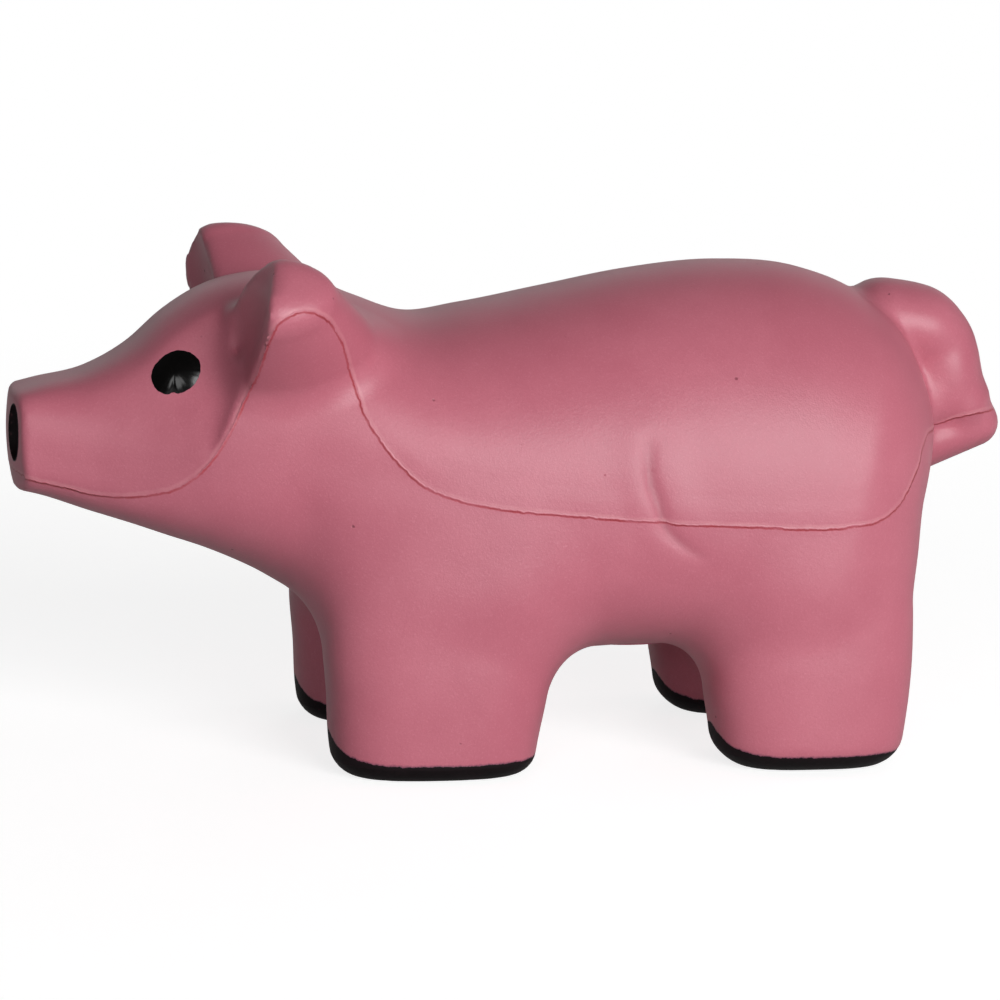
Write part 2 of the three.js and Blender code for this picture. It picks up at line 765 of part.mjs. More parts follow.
function lowerShell() {
  let shell = solid(turned([
    [tubeInner, neckEnd], [neckOuter, neckEnd], [neckOuter, drumBottom],
    [drumOuter - drumCorner, drumBottom], [drumOuter, drumBottom + drumCorner],
    [drumOuter, shellSplit], [drumInner, shellSplit], [drumInner, drumFloor],
    [tubeOuter, drumFloor], [tubeOuter, contactTop], [tubeInner, contactTop],
  ], 36));
  const postTops = [
    ...shellScrewAngles.map((angle) => [bossOrbit, angle, bossRadius, shellSplit, screwRadius]),
    ...boardScrewAngles.map((angle) => [postOrbit, angle, postRadius, boardBottom, boardScrewRadius]),
  ];
  for (const [orbit, angle, radius, top, thread] of postTops) {
    const [x, y] = onCircle(orbit, angle);
    shell = shell.add(solid(disc(radius, drumFloor - 0.5, top, 20).translate(x, y, 0)));
    const hole = disc(thread + clearance, drumFloor + 1, top + 1, 16);
    shell = shell.subtract(solid(hole.translate(x, y, 0)));
  }
  for (const sign of [-1, 1]) {
    const y = sign * (sleeveOuter + clearance + 0.5);
    const rib = block(tubeOuter - 0.5, drumInner + 0.3, y - 0.5, y + 0.5, canBottom + 0.4, canTop - 4);
    shell = shell.add(solid(rib));
  }
  const rest = disc(0.9, drumFloor - 0.5, endCapBottom, 12).translate(motorOrbit, 0, 0);
  shell = shell.add(solid(rest));
  const reach = lugRadius + clearance;
  const play = lugHalfAngle + 4;
  for (const start of lugAngles) {
    const groove = sector(tubeInner - 0.5, reach, lugLow - clearance, lugHigh + clearance,
      start - capTurn - play, start + play);
    const entry = sector(tubeInner - 0.5, reach, neckEnd - 1, lugHigh + clearance,
      start - capTurn - play, start - capTurn + play);
    shell = shell.subtract(solid(groove)).subtract(solid(entry));
  }
  const half = stripWidth / 2 + clearance;
  const slot = block(-half, half, tubeInner - 0.5, stripOuter + clearance, plugTop - 0.4, contactTop + 1);
  return piece('capsule_lower_shell', shapeOf(shell.subtract(solid(slot))), whitePlastic, 0.5);
}

function upperShell() {
  let shell = solid(turned([
    [stemRadius + 0.4, ceiling], [drumInner, ceiling], [drumInner, shellSplit], [drumOuter, shellSplit],
    [drumOuter, lidTop - drumCorner], [drumOuter - drumCorner, lidTop], [stemRadius + 0.4, lidTop],
  ], 36));
  for (const angle of shellScrewAngles) {
    const [x, y] = onCircle(bossOrbit, angle);
    shell = shell.add(solid(disc(bossRadius, shellSplit, lidTop - 0.5, 20).translate(x, y, 0)));
    const hole = disc(screwRadius + clearance, shellSplit - 1, lidTop + 1, 16);
    shell = shell.subtract(solid(hole.translate(x, y, 0)));
    const sink = disc(screwHeadRadius + clearance, lidTop - screwHeadHeight, lidTop + 1, 20);
    shell = shell.subtract(solid(sink.translate(x, y, 0)));
  }
  return piece('capsule_upper_shell', shapeOf(shell), whitePlastic, 0.5);
}

function batteryCap() {
  const group = new THREE.Group();
  let cap = solid(turned([
    [0, capFace], [flangeRadius - 0.5, capFace], [flangeRadius, capFace + 0.5], [flangeRadius, flangeTop],
    [plugRadius, flangeTop], [plugRadius, plugTop], [0, plugTop],
  ], 36));
  for (const start of lugAngles) {
    const [from, to] = [start - lugHalfAngle, start + lugHalfAngle];
    cap = cap.add(solid(sector(plugRadius - 1, lugRadius, lugLow, lugHigh, from, to)));
  }
  const { width, length, depth } = coinSlot;
  const slot = block(-length / 2, length / 2, -width / 2, width / 2, capFace - 1, capFace + depth);
  cap = cap.subtract(solid(slot));
  group.add(piece('battery_cap', shapeOf(cap), pink, 0.5));
  group.add(piece('cap_gasket', ring(tubeInner, neckOuter, flangeTop, neckEnd), black, 0.8));
  group.add(metal('cap_contact_plate', disc(plugRadius, plugTop, plateTop), brass));
  const coil = new Coil(3, 4.4, 2.4, plateTop + 2 * springWire, cellsBottom - 2 * springWire);
  group.add(metal('contact_spring', swept(coil, springWire, 36, 3)));
  return group;
}

function batteries() {
  const group = new THREE.Group();
  for (let n = 0; n < cellCount; n += 1) {
    const low = cellsBottom + n * cellHeight;
    const outline = [
      [0, low], [cellRadius - 1, low], [cellRadius - 1, low + 0.4], [cellRadius, low + 0.6],
      [cellRadius, low + cellHeight], [0, low + cellHeight],
    ];
    group.add(metal(`button_cell_${n + 1}`, turned(outline, 28)));
  }
  group.add(metal('positive_contact', disc(cellRadius - 0.4, cellsTop, contactTop, 24), brass));
  const half = stripWidth / 2;
  const strip = block(-half, half, stripInner, stripOuter, plugTop, contactTop);
  group.add(metal('contact_strip', strip, brass));
  return group;
}

function circuit() {
  const group = new THREE.Group();
  let board = solid(disc(drumInner - 0.4, boardBottom, boardTop, 40));
  const cuts = [
    [motorOrbit, 0, Math.max(weightRadius, sleeveOuter) + 0.5],
    ...shellScrewAngles.map((angle) => [bossOrbit, angle, bossRadius + 0.4]),
    ...boardScrewAngles.map((angle) => [postOrbit, angle, boardScrewRadius + clearance]),
  ];
  for (const [orbit, angle, radius] of cuts) {
    const [x, y] = onCircle(orbit, angle);
    board = board.subtract(solid(disc(radius, boardBottom - 1, boardTop + 1, 20).translate(x, y, 0)));
  }
  group.add(piece('circuit_board', shapeOf(board), 0x2f6b3c, 0.5));
  boardScrewAngles.forEach((angle, n) => {
    const head = 1.0;
    const name = `board_screw_${n + 1}`;
    const mesh = screw(name, boardScrewRadius, boardScrewLength, 1.5, head, boardTop + head);
    const [x, y] = onCircle(postOrbit, angle);
    mesh.position.set(x, y, 0);
    group.add(mesh);
  });
  const [chipX, chipY] = onCircle(9, 210);
  const dome = [[0, 0], [2.2, 0], [2.0, 0.5], [1.2, 0.9], [0, 1]];
  const chip = turned(dome.map(([r, h]) => [r, boardTop + h]), 16);
  group.add(piece('timer_chip', chip.translate(chipX, chipY, 0), black, 0.4));
  const half = switchWidth / 2;
  const plungerBottom = switchTop - plungerRise;
  const well = disc(plungerRadius + clearance, plungerBottom - buttonTravel - clearance, switchTop + 1, 24);
  const body = solid(block(-half, half, -half, half, boardTop, switchTop)).subtract(solid(well));
  group.add(piece('switch_body', shapeOf(body), black, 0.5));
  group.add(piece('switch_plunger', disc(plungerRadius, plungerBottom, plungerTop, 24), greyPlastic, 0.5));
  return group;
}

function pushButton() {
  const group = new THREE.Group();
  const clipBottom = clipTop - clipThickness;
  const grooveRadius = stemRadius - 0.8;
  const button = turned([
    [0, plungerTop], [grooveRadius + 0.5, plungerTop], [grooveRadius + 0.5, clipBottom],
    [grooveRadius, clipBottom], [grooveRadius, clipTop], [stemRadius, clipTop],
    [stemRadius, headBottom], [headRadius, headBottom],
    [headRadius, headTop - 1.0], [headRadius - 1, headTop - 0.4], [headRadius - 4, headTop], [0, headTop],
  ]);
  group.add(piece('push_button', button, greyPlastic, 0.5));
  group.add(metal('button_clip', ring(grooveRadius + clearance, stemRadius + 1.1, clipBottom, clipTop)));
  const coil = new Coil(springTurns, stemRadius + 1.2, stemRadius + 1.2, lidTop + 1.4 * springWire,
    headBottom - 1.4 * springWire);
  group.add(metal('button_spring', swept(coil, springWire, 24, 3)));
  return group;
}

function motor() {
  const group = new THREE.Group();
  const canInner = motorRadius - canWall;
  const hole = shaftRadius + clearance;
  group.add(metal('motor_can', turned([
    [motorRadius, canBottom], [motorRadius, canTop], [hole + 0.5, canTop], [hole + 0.5, canTop + 0.5],
    [hole, canTop + 0.5], [hole, canTop - 0.5], [canInner, canTop - 0.5], [canInner, canBottom],
  ], 24)));
  group.add(piece('motor_end_cap', disc(motorRadius, endCapBottom, canBottom, 24), black, 0.6));
  const magnetOuter = canInner - clearance;
  const magnetInner = magnetOuter - 0.55;
  const magnet = ring(magnetInner, magnetOuter, canBottom + 1.0, canTop - 1.5, 24);
  group.add(metal('motor_magnet', magnet, 0x4a4b50));
  const coreBottom = canBottom + 1.3;
  group.add(metal('rotor_core', ring(hole, magnetInner - clearance, coreBottom, canTop - 1.7, 20), copper));
  group.add(metal('rotor_shaft', disc(shaftRadius, canBottom + 0.4, weightTop + 0.4, 12)));
  const turn = 90;
  let weight = solid(sector(0.4, weightRadius, weightBottom, weightTop, -turn, turn));
  weight = weight.add(solid(disc(hole + 0.6, weightBottom, weightTop, 20)));
  weight = weight.subtract(solid(disc(hole, weightBottom - 1, weightTop + 1, 12)));
  group.add(metal('eccentric_weight', shapeOf(weight)));
  const sleeve = ring(motorRadius + sleevePlay, sleeveOuter, canBottom + 1.5, canTop - 1.5, 24);
  group.add(piece('motor_sleeve', sleeve, black, 0.8));
  return group;
}

// Lead from under the motor, along the drum's floor and up to the circuit board
function motorLead(name, sign, color) {
  const route = [
    [motorOrbit, 1.9, endCapBottom - 0.35],
    [motorOrbit, 2.3, drumFloor + leadRadius + 0.25],
    [motorOrbit - 0.3, 4.0, drumFloor + leadRadius + 0.15],
    [motorOrbit - 1.6, 6.4, drumFloor + leadRadius + 0.6],
    [motorOrbit - 2.3, 7.6, drumFloor + 3.5],
    [motorOrbit - 2.5, 8.2, boardBottom - 4],
    [motorOrbit - 2.7, 8.4, boardBottom - clearance],
  ];
  const path = new THREE.CatmullRomCurve3(route.map(([x, y, z]) => new THREE.Vector3(x, sign * y, z)));
  return piece(name, swept(path, leadRadius, 24, 4), color, 0.5);
}

function capsule() {
  const group = new THREE.Group();
  group.position.x = capsuleX;
  group.add(lowerShell(), upperShell(), batteryCap(), batteries(), circuit(), pushButton());
  shellScrewAngles.forEach((angle, n) => {
    const name = `shell_screw_${n + 1}`;
    const mesh = screw(name, screwRadius, screwLength, screwHeadRadius, screwHeadHeight, lidTop);
    const [x, y] = onCircle(bossOrbit, angle);
    mesh.position.set(x, y, 0);
    group.add(mesh);
  });
  const motorGroup = motor();
  motorGroup.position.x = motorOrbit;
  group.add(motorGroup);
  group.add(motorLead('motor_lead_positive', 1, 0xb02318));
  group.add(motorLead('motor_lead_negative', -1, 0x16161a));
  return group;
}

// The origin is under the middle of the toy's length
const toy = new THREE.Group();
toy.add(foamParts(), capsule());
toy.position.x = -(snoutFace + tailTip.x + tailTip.radius) / 2;

export default toy;
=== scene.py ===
import math

import bmesh
import bpy
import numpy as np
from mathutils import Matrix, Vector


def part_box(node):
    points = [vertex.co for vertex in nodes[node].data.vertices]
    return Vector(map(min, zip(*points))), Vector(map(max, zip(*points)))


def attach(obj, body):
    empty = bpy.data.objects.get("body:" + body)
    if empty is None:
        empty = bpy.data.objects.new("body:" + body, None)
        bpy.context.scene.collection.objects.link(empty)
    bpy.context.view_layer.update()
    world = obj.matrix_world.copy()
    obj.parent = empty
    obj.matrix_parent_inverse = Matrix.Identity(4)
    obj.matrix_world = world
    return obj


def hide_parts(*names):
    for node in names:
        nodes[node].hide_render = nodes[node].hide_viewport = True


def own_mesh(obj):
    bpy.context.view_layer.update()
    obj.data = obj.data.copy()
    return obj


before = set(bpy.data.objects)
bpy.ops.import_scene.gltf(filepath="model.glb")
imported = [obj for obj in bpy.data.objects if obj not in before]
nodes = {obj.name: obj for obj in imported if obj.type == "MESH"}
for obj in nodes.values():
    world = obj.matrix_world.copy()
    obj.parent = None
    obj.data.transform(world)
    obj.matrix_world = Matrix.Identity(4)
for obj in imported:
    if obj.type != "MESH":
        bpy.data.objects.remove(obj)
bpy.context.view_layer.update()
scene = bpy.context.scene

# Camera: turned towards the snout, a little above the pig, at the photograph's tilt
shot = {
    "turn": 11.5,
    "lift": 10.0,
    "tilt": 1.6,
    "distance": 0.42,
    "target": (-0.00155, 0.0, 0.0294),
    "lens": 125.57,
    "sensor": 36.0,
    "clip": (0.02, 20.0),
}


# The way from the pig to a lamp or the camera: degrees round it from its near side, and over the floor
def wayOut(turn, lift):
    turn, lift = math.radians(turn), math.radians(lift)
    return Vector((math.sin(turn) * math.cos(lift), -math.cos(turn) * math.cos(lift), math.sin(lift)))


def placeCamera():
    turn, tilt = math.radians(shot["turn"]), math.radians(shot["tilt"])
    back = wayOut(-shot["turn"], shot["lift"])
    level = Vector((math.cos(turn), -math.sin(turn), 0.0))
    rise = back.cross(level)
    right = level * math.cos(tilt) + rise * math.sin(tilt)
    up = rise * math.cos(tilt) - level * math.sin(tilt)
    camera = bpy.data.objects.new("photoCamera", bpy.data.cameras.new("photoCamera"))
    camera.data.lens = shot["lens"]
    camera.data.sensor_width = shot["sensor"]
    camera.data.clip_start, camera.data.clip_end = shot["clip"]
    place = Vector(shot["target"]) + back * shot["distance"]
    camera.matrix_world = Matrix.Translation(place) @ Matrix((right, up, back)).transposed().to_4x4()
    scene.collection.objects.link(camera)
    scene.camera = camera


placeCamera()
scene.view_settings.view_transform = "Standard"
print("camera placed")


# Colour as it looks on screen, 0 to 255, to the shader's own scale, by the sRGB curve
def tint(red, green, blue):
    share = np.array([red, green, blue]) / 255
    flat = np.where(share > 0.04045, ((share + 0.055) / 1.055) ** 2.4, share / 12.92)
    return (*flat.tolist(), 1.0)


def shade(colour, share):
    return (*(part * share for part in colour[:3]), 1.0)


# One socket of a finish, which adds, multiplies and compares as a number does
class Wire:
    def __init__(self, finish, socket):
        self.finish = finish
        self.socket = socket

    def maths(self, operation, *values):
        return self.finish.node("Math", {"operation": operation}, dict(enumerate(values)))

    def __add__(self, other):
        return self.maths("ADD", self, other)

    def __sub__(self, other):
        return self.maths("SUBTRACT", self, other)

    def __mul__(self, other):
        return self.maths("MULTIPLY", self, other)

    def __truediv__(self, other):
        return self.maths("DIVIDE", self, other)

    def __radd__(self, other):
        return self.maths("ADD", other, self)

    def __rsub__(self, other):
        return self.maths("SUBTRACT", other, self)

    def __rmul__(self, other):
        return self.maths("MULTIPLY", other, self)

    def __rtruediv__(self, other):
        return self.maths("DIVIDE", other, self)

    def __abs__(self):
        return self.maths("ABSOLUTE", self)

    def __gt__(self, other):
        return self.maths("GREATER_THAN", self, other)

    def __lt__(self, other):
        return self.maths("LESS_THAN", self, other)

    def fraction(self):
        return self.maths("FRACT", self)

    def sine(self):
        return self.maths("SINE", self)

    def above(self, other):
        return self.maths("MAXIMUM", self, other)

    # 0 under low and 1 over high, or the other way round, with a soft change between
    def ease(self, low, high):
        sockets = {"Value": self, "From Min": min(low, high), "From Max": max(low, high)}
        rise = self.finish.node("MapRange", {"interpolation_type": "SMOOTHSTEP"}, sockets)
        return 1.0 - rise if low > high else rise


# A material with one principled shader: fixed values go on its sockets, patterns come as wires
class Finish:
    def __init__(self, name, **fixed):
        self.material = bpy.data.materials.new(name)
        self.material.use_nodes = True
        self.tree = self.material.node_tree
        self.shader = self.tree.nodes["Principled BSDF"]
        self.plain = Wire(self, self.shader.outputs[0])
        self.place = self.node("TexCoord", {}, {}, "Object")
        for key, value in fixed.items():
            self.shader.inputs[key.replace("_", " ")].default_value = value

    def feed(self, socket, value):
        if isinstance(value, Wire):
            self.tree.links.new(value.socket, socket)
        else:
            socket.default_value = value

    def node(self, kind, settings, sockets, output=0):
        made = self.tree.nodes.new("ShaderNode" + kind)
        for key, value in settings.items():
            setattr(made, key, value)
        for key, value in sockets.items():
            self.feed(made.inputs[key], value)
        return Wire(self, made.outputs[output])

    def part(self, axis):
        return self.node("SeparateXYZ", {}, {"Vector": self.place}, axis)

    def attribute(self, name):
        return self.node("Attribute", {"attribute_name": name}, {}, "Fac")

    # Cloudy noise about 0, between -1 and 1, whose lumps are this many millimetres wide
    def cloud(self, width, detail=3.0, roughness=0.5, stretch=None):
        place = self.place
        if stretch:
            place = self.node("Mapping", {}, {"Vector": place, "Scale": stretch})
        sockets = {"Vector": place, "Scale": 1000 / width, "Detail": detail, "Roughness": roughness}
        return (self.node("TexNoise", {}, sockets) - 0.5) * 2.0

    # Distance in millimetres to the nearest of scattered points, and a chance from 0 to 1 for each
    def specks(self, spacing):
        sockets = {"Vector": self.place, "Scale": 1000 / spacing, "Randomness": 1.0}
        near = self.node("TexVoronoi", {}, sockets, "Distance") * spacing
        chance = self.node("TexVoronoi", {}, sockets, "Color")
        return near, self.node("SeparateColor", {}, {"Color": chance}, 0)

    def mix(self, share, first, second):
        return self.node("Mix", {"data_type": "RGBA"}, {0: share, 6: first, 7: second}, 2)

    def colour(self, value):
        self.feed(self.shader.inputs["Base Color"], value)

    def roughness(self, value):
        self.feed(self.shader.inputs["Roughness"], value)

    # Relief in millimetres
    def relief(self, height):
        bump = self.node("Bump", {}, {"Height": height, "Strength": 1.0, "Distance": 0.001})
        self.feed(self.shader.inputs["Normal"], bump)

    # A second shader over a first, where share is 1, shown in place of the finish's own
    def cover(self, share, lower, upper):
        both = self.node("MixShader", {}, {0: share, 1: lower, 2: upper})
        self.feed(self.tree.nodes["Material Output"].inputs["Surface"], both)


def coat(piece, finish):
    piece.data.materials.clear()
    piece.data.materials.append(finish.material)


# How far the frame has the pig moved along its length, in millimetres
frameShift = -1.55


# Millimetres on the pig to metres in the frame, and back
def inFrame(points):
    return (points + [frameShift, 0, 0]) / 1000


def inPig(places):
    return np.array(places, float) * 1000 - [frameShift, 0, 0]


# The pig in millimetres. The grid of cells fills its room, the skin is looked for within its reach to
# both sides, and points of the skin lower than flat are on the floor.
pig = {
    "length": 112.0,
    "width": 47.0,
    "height": 58.6,
    "cell": 0.64,
    "room": ((-61.6, -27.84, -0.96), (63.6, 27.84, 62.4)),
    "reach": 30.0,
    "flat": 0.02,
    "bellyFullness": 2.6,
    "snout": {"face": -59.0, "level": 38.8, "edge": 0.5, "across": 50.0, "up": 58.0},
    "rump": {"face": 52.15, "edge": 7.0, "bulge": 85.0, "tuckLevel": 44.0, "tuckHeight": 16.0, "tuck": 1.9},
    "legSpread": 14.15,
    "legFullness": 2.6,
    "legTop": 36.0,
    "legTopEdge": 4.0,
    "betweenLegs": 12.0,
    "frontFoot": {"edge": 2.3, "fillet": 6.5},
    "rearFoot": {"edge": 3.6, "fillet": 5.0},
    "soleHeight": 1.8,
}

# Along the pig, then the levels of the back, the belly and the widest line, then the half width
# and how square the back is
trunkStations = np.array([
    [-0.533, 0.7297, 0.5444, 0.5973, 0.1745, 5.2],
    [-0.4973, 0.7502, 0.5307, 0.5939, 0.1892, 4.0],
    [-0.4446, 0.7775, 0.4983, 0.5836, 0.2255, 3.0],
    [-0.4, 0.829, 0.4727, 0.5768, 0.2702, 2.5],
    [-0.3652, 0.8908, 0.4505, 0.5836, 0.3085, 2.3],
    [-0.325, 0.9403, 0.4249, 0.6058, 0.3511, 2.2],
    [-0.2759, 0.9676, 0.384, 0.6314, 0.3851, 2.15],
    [-0.2223, 0.9659, 0.327, 0.6485, 0.4064, 2.15],
    [-0.1652, 0.9249, 0.2901, 0.6314, 0.4319, 2.15],
    [-0.1071, 0.8908, 0.256, 0.5973, 0.4574, 2.15],
    [-0.0446, 0.9078, 0.2321, 0.5631, 0.4745, 2.15],
    [0.0446, 0.9437, 0.2135, 0.5392, 0.4872, 2.15],
    [0.1339, 0.9795, 0.2201, 0.529, 0.4936, 2.15],
    [0.233, 1.0, 0.2218, 0.5188, 0.5021, 2.15],
    [0.3223, 0.9863, 0.2287, 0.5188, 0.4979, 2.15],
    [0.3857, 0.9386, 0.2457, 0.529, 0.4787, 2.15],
    [0.4304, 0.8703, 0.273, 0.5461, 0.4489, 2.15],
    [0.4661, 0.785, 0.2901, 0.5631, 0.4191, 2.15],
]) * [pig["length"], pig["height"], pig["height"], pig["height"], pig["width"], 1]

# Level, then the half width across the pig; level, then the middle and half length along it
legAcross = np.array([
    [0.0, 0.1681],
    [0.1024, 0.1745],
    [0.2389, 0.1787],
    [0.3754, 0.1681],
    [0.4778, 0.117],
    [0.6143, 0.0426],
]) * [pig["height"], pig["width"]]
frontLeg = np.array([
    [0.0, -0.0902, 0.1045],
    [0.0683, -0.0902, 0.1098],
    [0.1536, -0.0875, 0.1152],
    [0.273, -0.0866, 0.1214],
    [0.4096, -0.0848, 0.1161],
    [0.6143, -0.0804, 0.0804],
]) * [pig["height"], pig["length"], pig["length"]]
rearLeg = np.array([
    [0.0, 0.3143, 0.0995],
    [0.0683, 0.3143, 0.1039],
    [0.1536, 0.3125, 0.11],
    [0.273, 0.3116, 0.1118],
    [0.4096, 0.3089, 0.108],
    [0.6143, 0.3036, 0.0714],
]) * [pig["height"], pig["length"], pig["length"]]

ear = {
    "tip": (-30.9, 21.3, 55.6),
    "tipRadius": 5.2,
    "root": (-26.5, 11.0, 47.5),
    "rootRadius": 7.5,
    "stretch": 0.68,
    "face": -33.8,
    "faceTurn": 13.0,
    "slopeLeft": 0.15,
    "slopeRight": -0.17,
    "curl": {"level": 56.0, "left": 0.1, "right": 0.02},
    "edge": 0.6,
    "fillet": 2.0,
    "slant": {"across": 0.7, "up": 0.714, "reach": 58.5, "edge": 1.5},
    "step": {"rise": (38.0, 49.5), "top": (57.0, 53.0), "aside": (8.0, 13.0), "depth": 4.4, "steepness": 2.1,
             "reach": 9.0, "start": 0.3, "turn": 46.0, "lean": 0.2, "curve": 0.025},
    "hollow": {"across": 17.6, "level": 53.6, "lean": 0.8, "width": 4.0, "height": 5.0, "depth": 1.2,
               "edge": 1.4},
}

# The tail: a curl with a web inside it, and three bars: x and z of both ends, their radii and a fillet
tail = {
    "x": 49.6,
    "z": 46.3,
    "radius": 5.0,
    "thickness": 4.45,
    "flatness": 0.75,
    "web": {"inside": 0.8, "half": 5.25, "edge": 3.0, "fillet": 1.5},
    "top": ((46.6, 51.9), (51.0, 50.7), 4.6, 4.6, 1.5),
    "bend": ((56.6, 41.7), (54.6, 45.9), 4.2, 4.2, 1.0),
    "tip": ((59.0, 38.9), (50.4, 36.0), 3.1, 3.7, 0.8),
    "fillet": 1.2,
}


# 0 at low and 1 at high, straight between and level past them
def ramp(value, low, high):
    return np.clip((value - low) / (high - low), 0, 1)


def bell(value, width):
    return np.exp(-(value / width) ** 2)


# Smooth curve through stations: on each stretch a cubic that leaves both ends at the slope
# between their neighbours, level past the first and the last
def curveThrough(at, places, values):
    step = np.diff(places)
    rise = np.diff(values) / step
    inner = (rise[:-1] * step[1:] + rise[1:] * step[:-1]) / (step[:-1] + step[1:])
    slope = np.concatenate([rise[:1], inner, rise[-1:]])
    at = np.clip(at, places[0], places[-1])
    n = np.clip(np.searchsorted(places, at, side="right") - 1, 0, len(step) - 1)
    t = (at - places[n]) / step[n]
    ends = values[n] * (1 + 2 * t) * (1 - t) ** 2 + values[n + 1] * (3 - 2 * t) * t * t
    return ends + step[n] * (slope[n] * t * (1 - t) ** 2 - slope[n + 1] * t * t * (1 - t))


# Distances, negative inside: union and intersection with a round of radius r
def join(a, b, r):
    return np.maximum(r, np.minimum(a, b)) - np.hypot(np.maximum(r - a, 0), np.maximum(r - b, 0))


def meet(a, b, r):
    return np.minimum(-r, np.maximum(a, b)) + np.hypot(np.maximum(a + r, 0), np.maximum(b + r, 0))


# Distance to the oval |u/a|^n + |v/b|^n = 1: how far out of it over the slope there
def oval(u, a, v, b, n):
    pu, pv = np.abs(u) / a, np.abs(v) / b
    r = (pu ** n + pv ** n + 1e-12) ** (1 / n)
    slope = ((pu / r) ** (n - 1) / a) ** 2 + ((pv / r) ** (n - 1) / b) ** 2
    return (r - 1) / np.sqrt(slope + 1e-8)


# Distance to a bar from point a to point b whose radius runs from ra to rb
def bar(x, y, z, a, b, ra, rb):
    a = np.array(a)
    d = np.array(b) - a
    t = np.clip(((x - a[0]) * d[0] + (y - a[1]) * d[1] + (z - a[2]) * d[2]) / (d @ d), 0, 1)
    off = (x - a[0] - t * d[0]) ** 2 + (y - a[1] - t * d[1]) ** 2 + (z - a[2] - t * d[2]) ** 2
    return np.sqrt(off) - ra - t * (rb - ra)


# How far in front of the ear's face a point is: a plane that bends back over the curl's level
def earFront(x, y, z):
    curl = ear["curl"]
    slope = np.where(y < 0, ear["slopeLeft"], ear["slopeRight"])
    bend = np.where(y < 0, curl["left"], curl["right"]) * np.maximum(0, z - curl["level"]) ** 2
    return ear["face"] + slope * (np.abs(y) - ear["faceTurn"]) + bend - x


# The cheek lies lower than the ear and the neck: a hollow that is steep at the ear's ridge,
# deeper the higher it lies, and runs out towards the snout
def cheekStep(x, y, z):
    step = ear["step"]
    down = np.maximum(0, step["turn"] - z)
    start = step["start"] + step["lean"] * down + step["curve"] * down ** 2
    ahead = np.maximum(0, earFront(x, y, z) - start)
    aside = ramp(np.abs(y), *step["aside"])
    depth = step["depth"] * ramp(z, *step["rise"]) * ramp(z, *step["top"]) * aside ** 2 * (3 - 2 * aside)
    fall = 1 - np.exp(-ahead * step["steepness"] / (depth + 0.05))  # 0.05 keeps the division off zero
    return depth * fall * np.exp(-ahead / step["reach"])


def trunkField(x, y, z):
    snout, rump = pig["snout"], pig["rump"]
    places, *columns = trunkStations.T
    top, bottom, level, half, square = (curveThrough(x, places, values) for values in columns)
    back = oval(y, half, z - level, top - level, square)
    belly = oval(y, half, z - level, level - bottom, pig["bellyFullness"])
    tube = np.where(z > level, back, belly) + cheekStep(x, y, z)
    nose = snout["face"] - x + y ** 2 / snout["across"] + (z - snout["level"]) ** 2 / snout["up"]
    tuck = rump["tuck"] * (np.maximum(0, rump["tuckLevel"] - z) / rump["tuckHeight"]) ** 2
    behind = x - rump["face"] + y ** 2 / rump["bulge"] + tuck
    return meet(meet(tube, nose, snout["edge"]), behind, rump["edge"])


def legField(x, y, z, table, edge):
    levels, middles, halves = table.T
    middle, half = curveThrough(z, levels, middles), curveThrough(z, levels, halves)
    across = curveThrough(z, *legAcross.T)
    column = oval(x - middle, half, np.abs(y) - pig["legSpread"], across, pig["legFullness"])
    return meet(meet(column, -z, edge), z - pig["legTop"], pig["legTopEdge"])


def earField(x, y, z):
    squeeze = np.array([ear["stretch"], 1, 1])
    root, tip = np.array(ear["root"]) * squeeze, np.array(ear["tip"]) * squeeze
    wedge = bar(x * ear["stretch"], np.abs(y), z, root, tip, ear["rootRadius"], ear["tipRadius"])
    slant = ear["slant"]
    outer = slant["across"] * np.abs(y) + slant["up"] * z - slant["reach"]
    return meet(meet(wedge, outer, slant["edge"]), earFront(x, y, z), ear["edge"])


# The leaning hollow in the ear's face: an ellipsoid sheared along the face
def hollowField(x, y, z):
    hollow = ear["hollow"]
    rise = z - hollow["level"]
    out = earFront(x, y, z) / hollow["depth"]
    side = (np.abs(y) - hollow["across"] - hollow["lean"] * rise) / hollow["width"]
    return (np.sqrt(out ** 2 + side ** 2 + (rise / hollow["height"]) ** 2) - 1) * hollow["depth"]


def tailField(x, y, z):
    out = np.hypot(x - tail["x"], z - tail["z"])
    flat = y * tail["flatness"]
    curl = np.hypot(out - tail["radius"], flat) - tail["thickness"]
    web = tail["web"]
    middle = meet(out - tail["radius"] - web["inside"], np.abs(y) - web["half"], web["edge"])

    def rod(part):
        (ax, az), (bx, bz), ra, rb, fillet = tail[part]
        return bar(x, flat, z, (ax, 0, az), (bx, 0, bz), ra, rb), fillet

    shape = curl
    for form, fillet in (rod("top"), (middle, web["fillet"]), rod("bend"), rod("tip")):
        shape = join(shape, form, fillet)
    return shape


def pigField(x, y, z):
    field = trunkField(x, y, z)
    for table, foot in ((frontLeg, pig["frontFoot"]), (rearLeg, pig["rearFoot"])):
        field = join(field, legField(x, y, z, table, foot["edge"]), foot["fillet"])
    field = join(field, earField(x, y, z), ear["fillet"])
    field = join(field, tailField(x, y, z), tail["fillet"])
    return meet(field, -hollowField(x, y, z), ear["hollow"]["edge"])


def slopeOf(field, points):
    reach = 0.02
    parts = [field(*(points + way).T) - field(*(points - way).T) for way in np.eye(3) * reach]
    return np.stack(parts, axis=1) / (2 * reach)


# Slides points along the field's slope until they are on the surface, no further than reach each way
def settle(field, points, reach):
    start = points
    for _ in range(4):
        slope = slopeOf(field, points)
        step = field(*points.T) / ((slope ** 2).sum(1) + 1e-9)
        points = np.clip(points - slope * step[:, None], start - reach, start + reach)
    return points


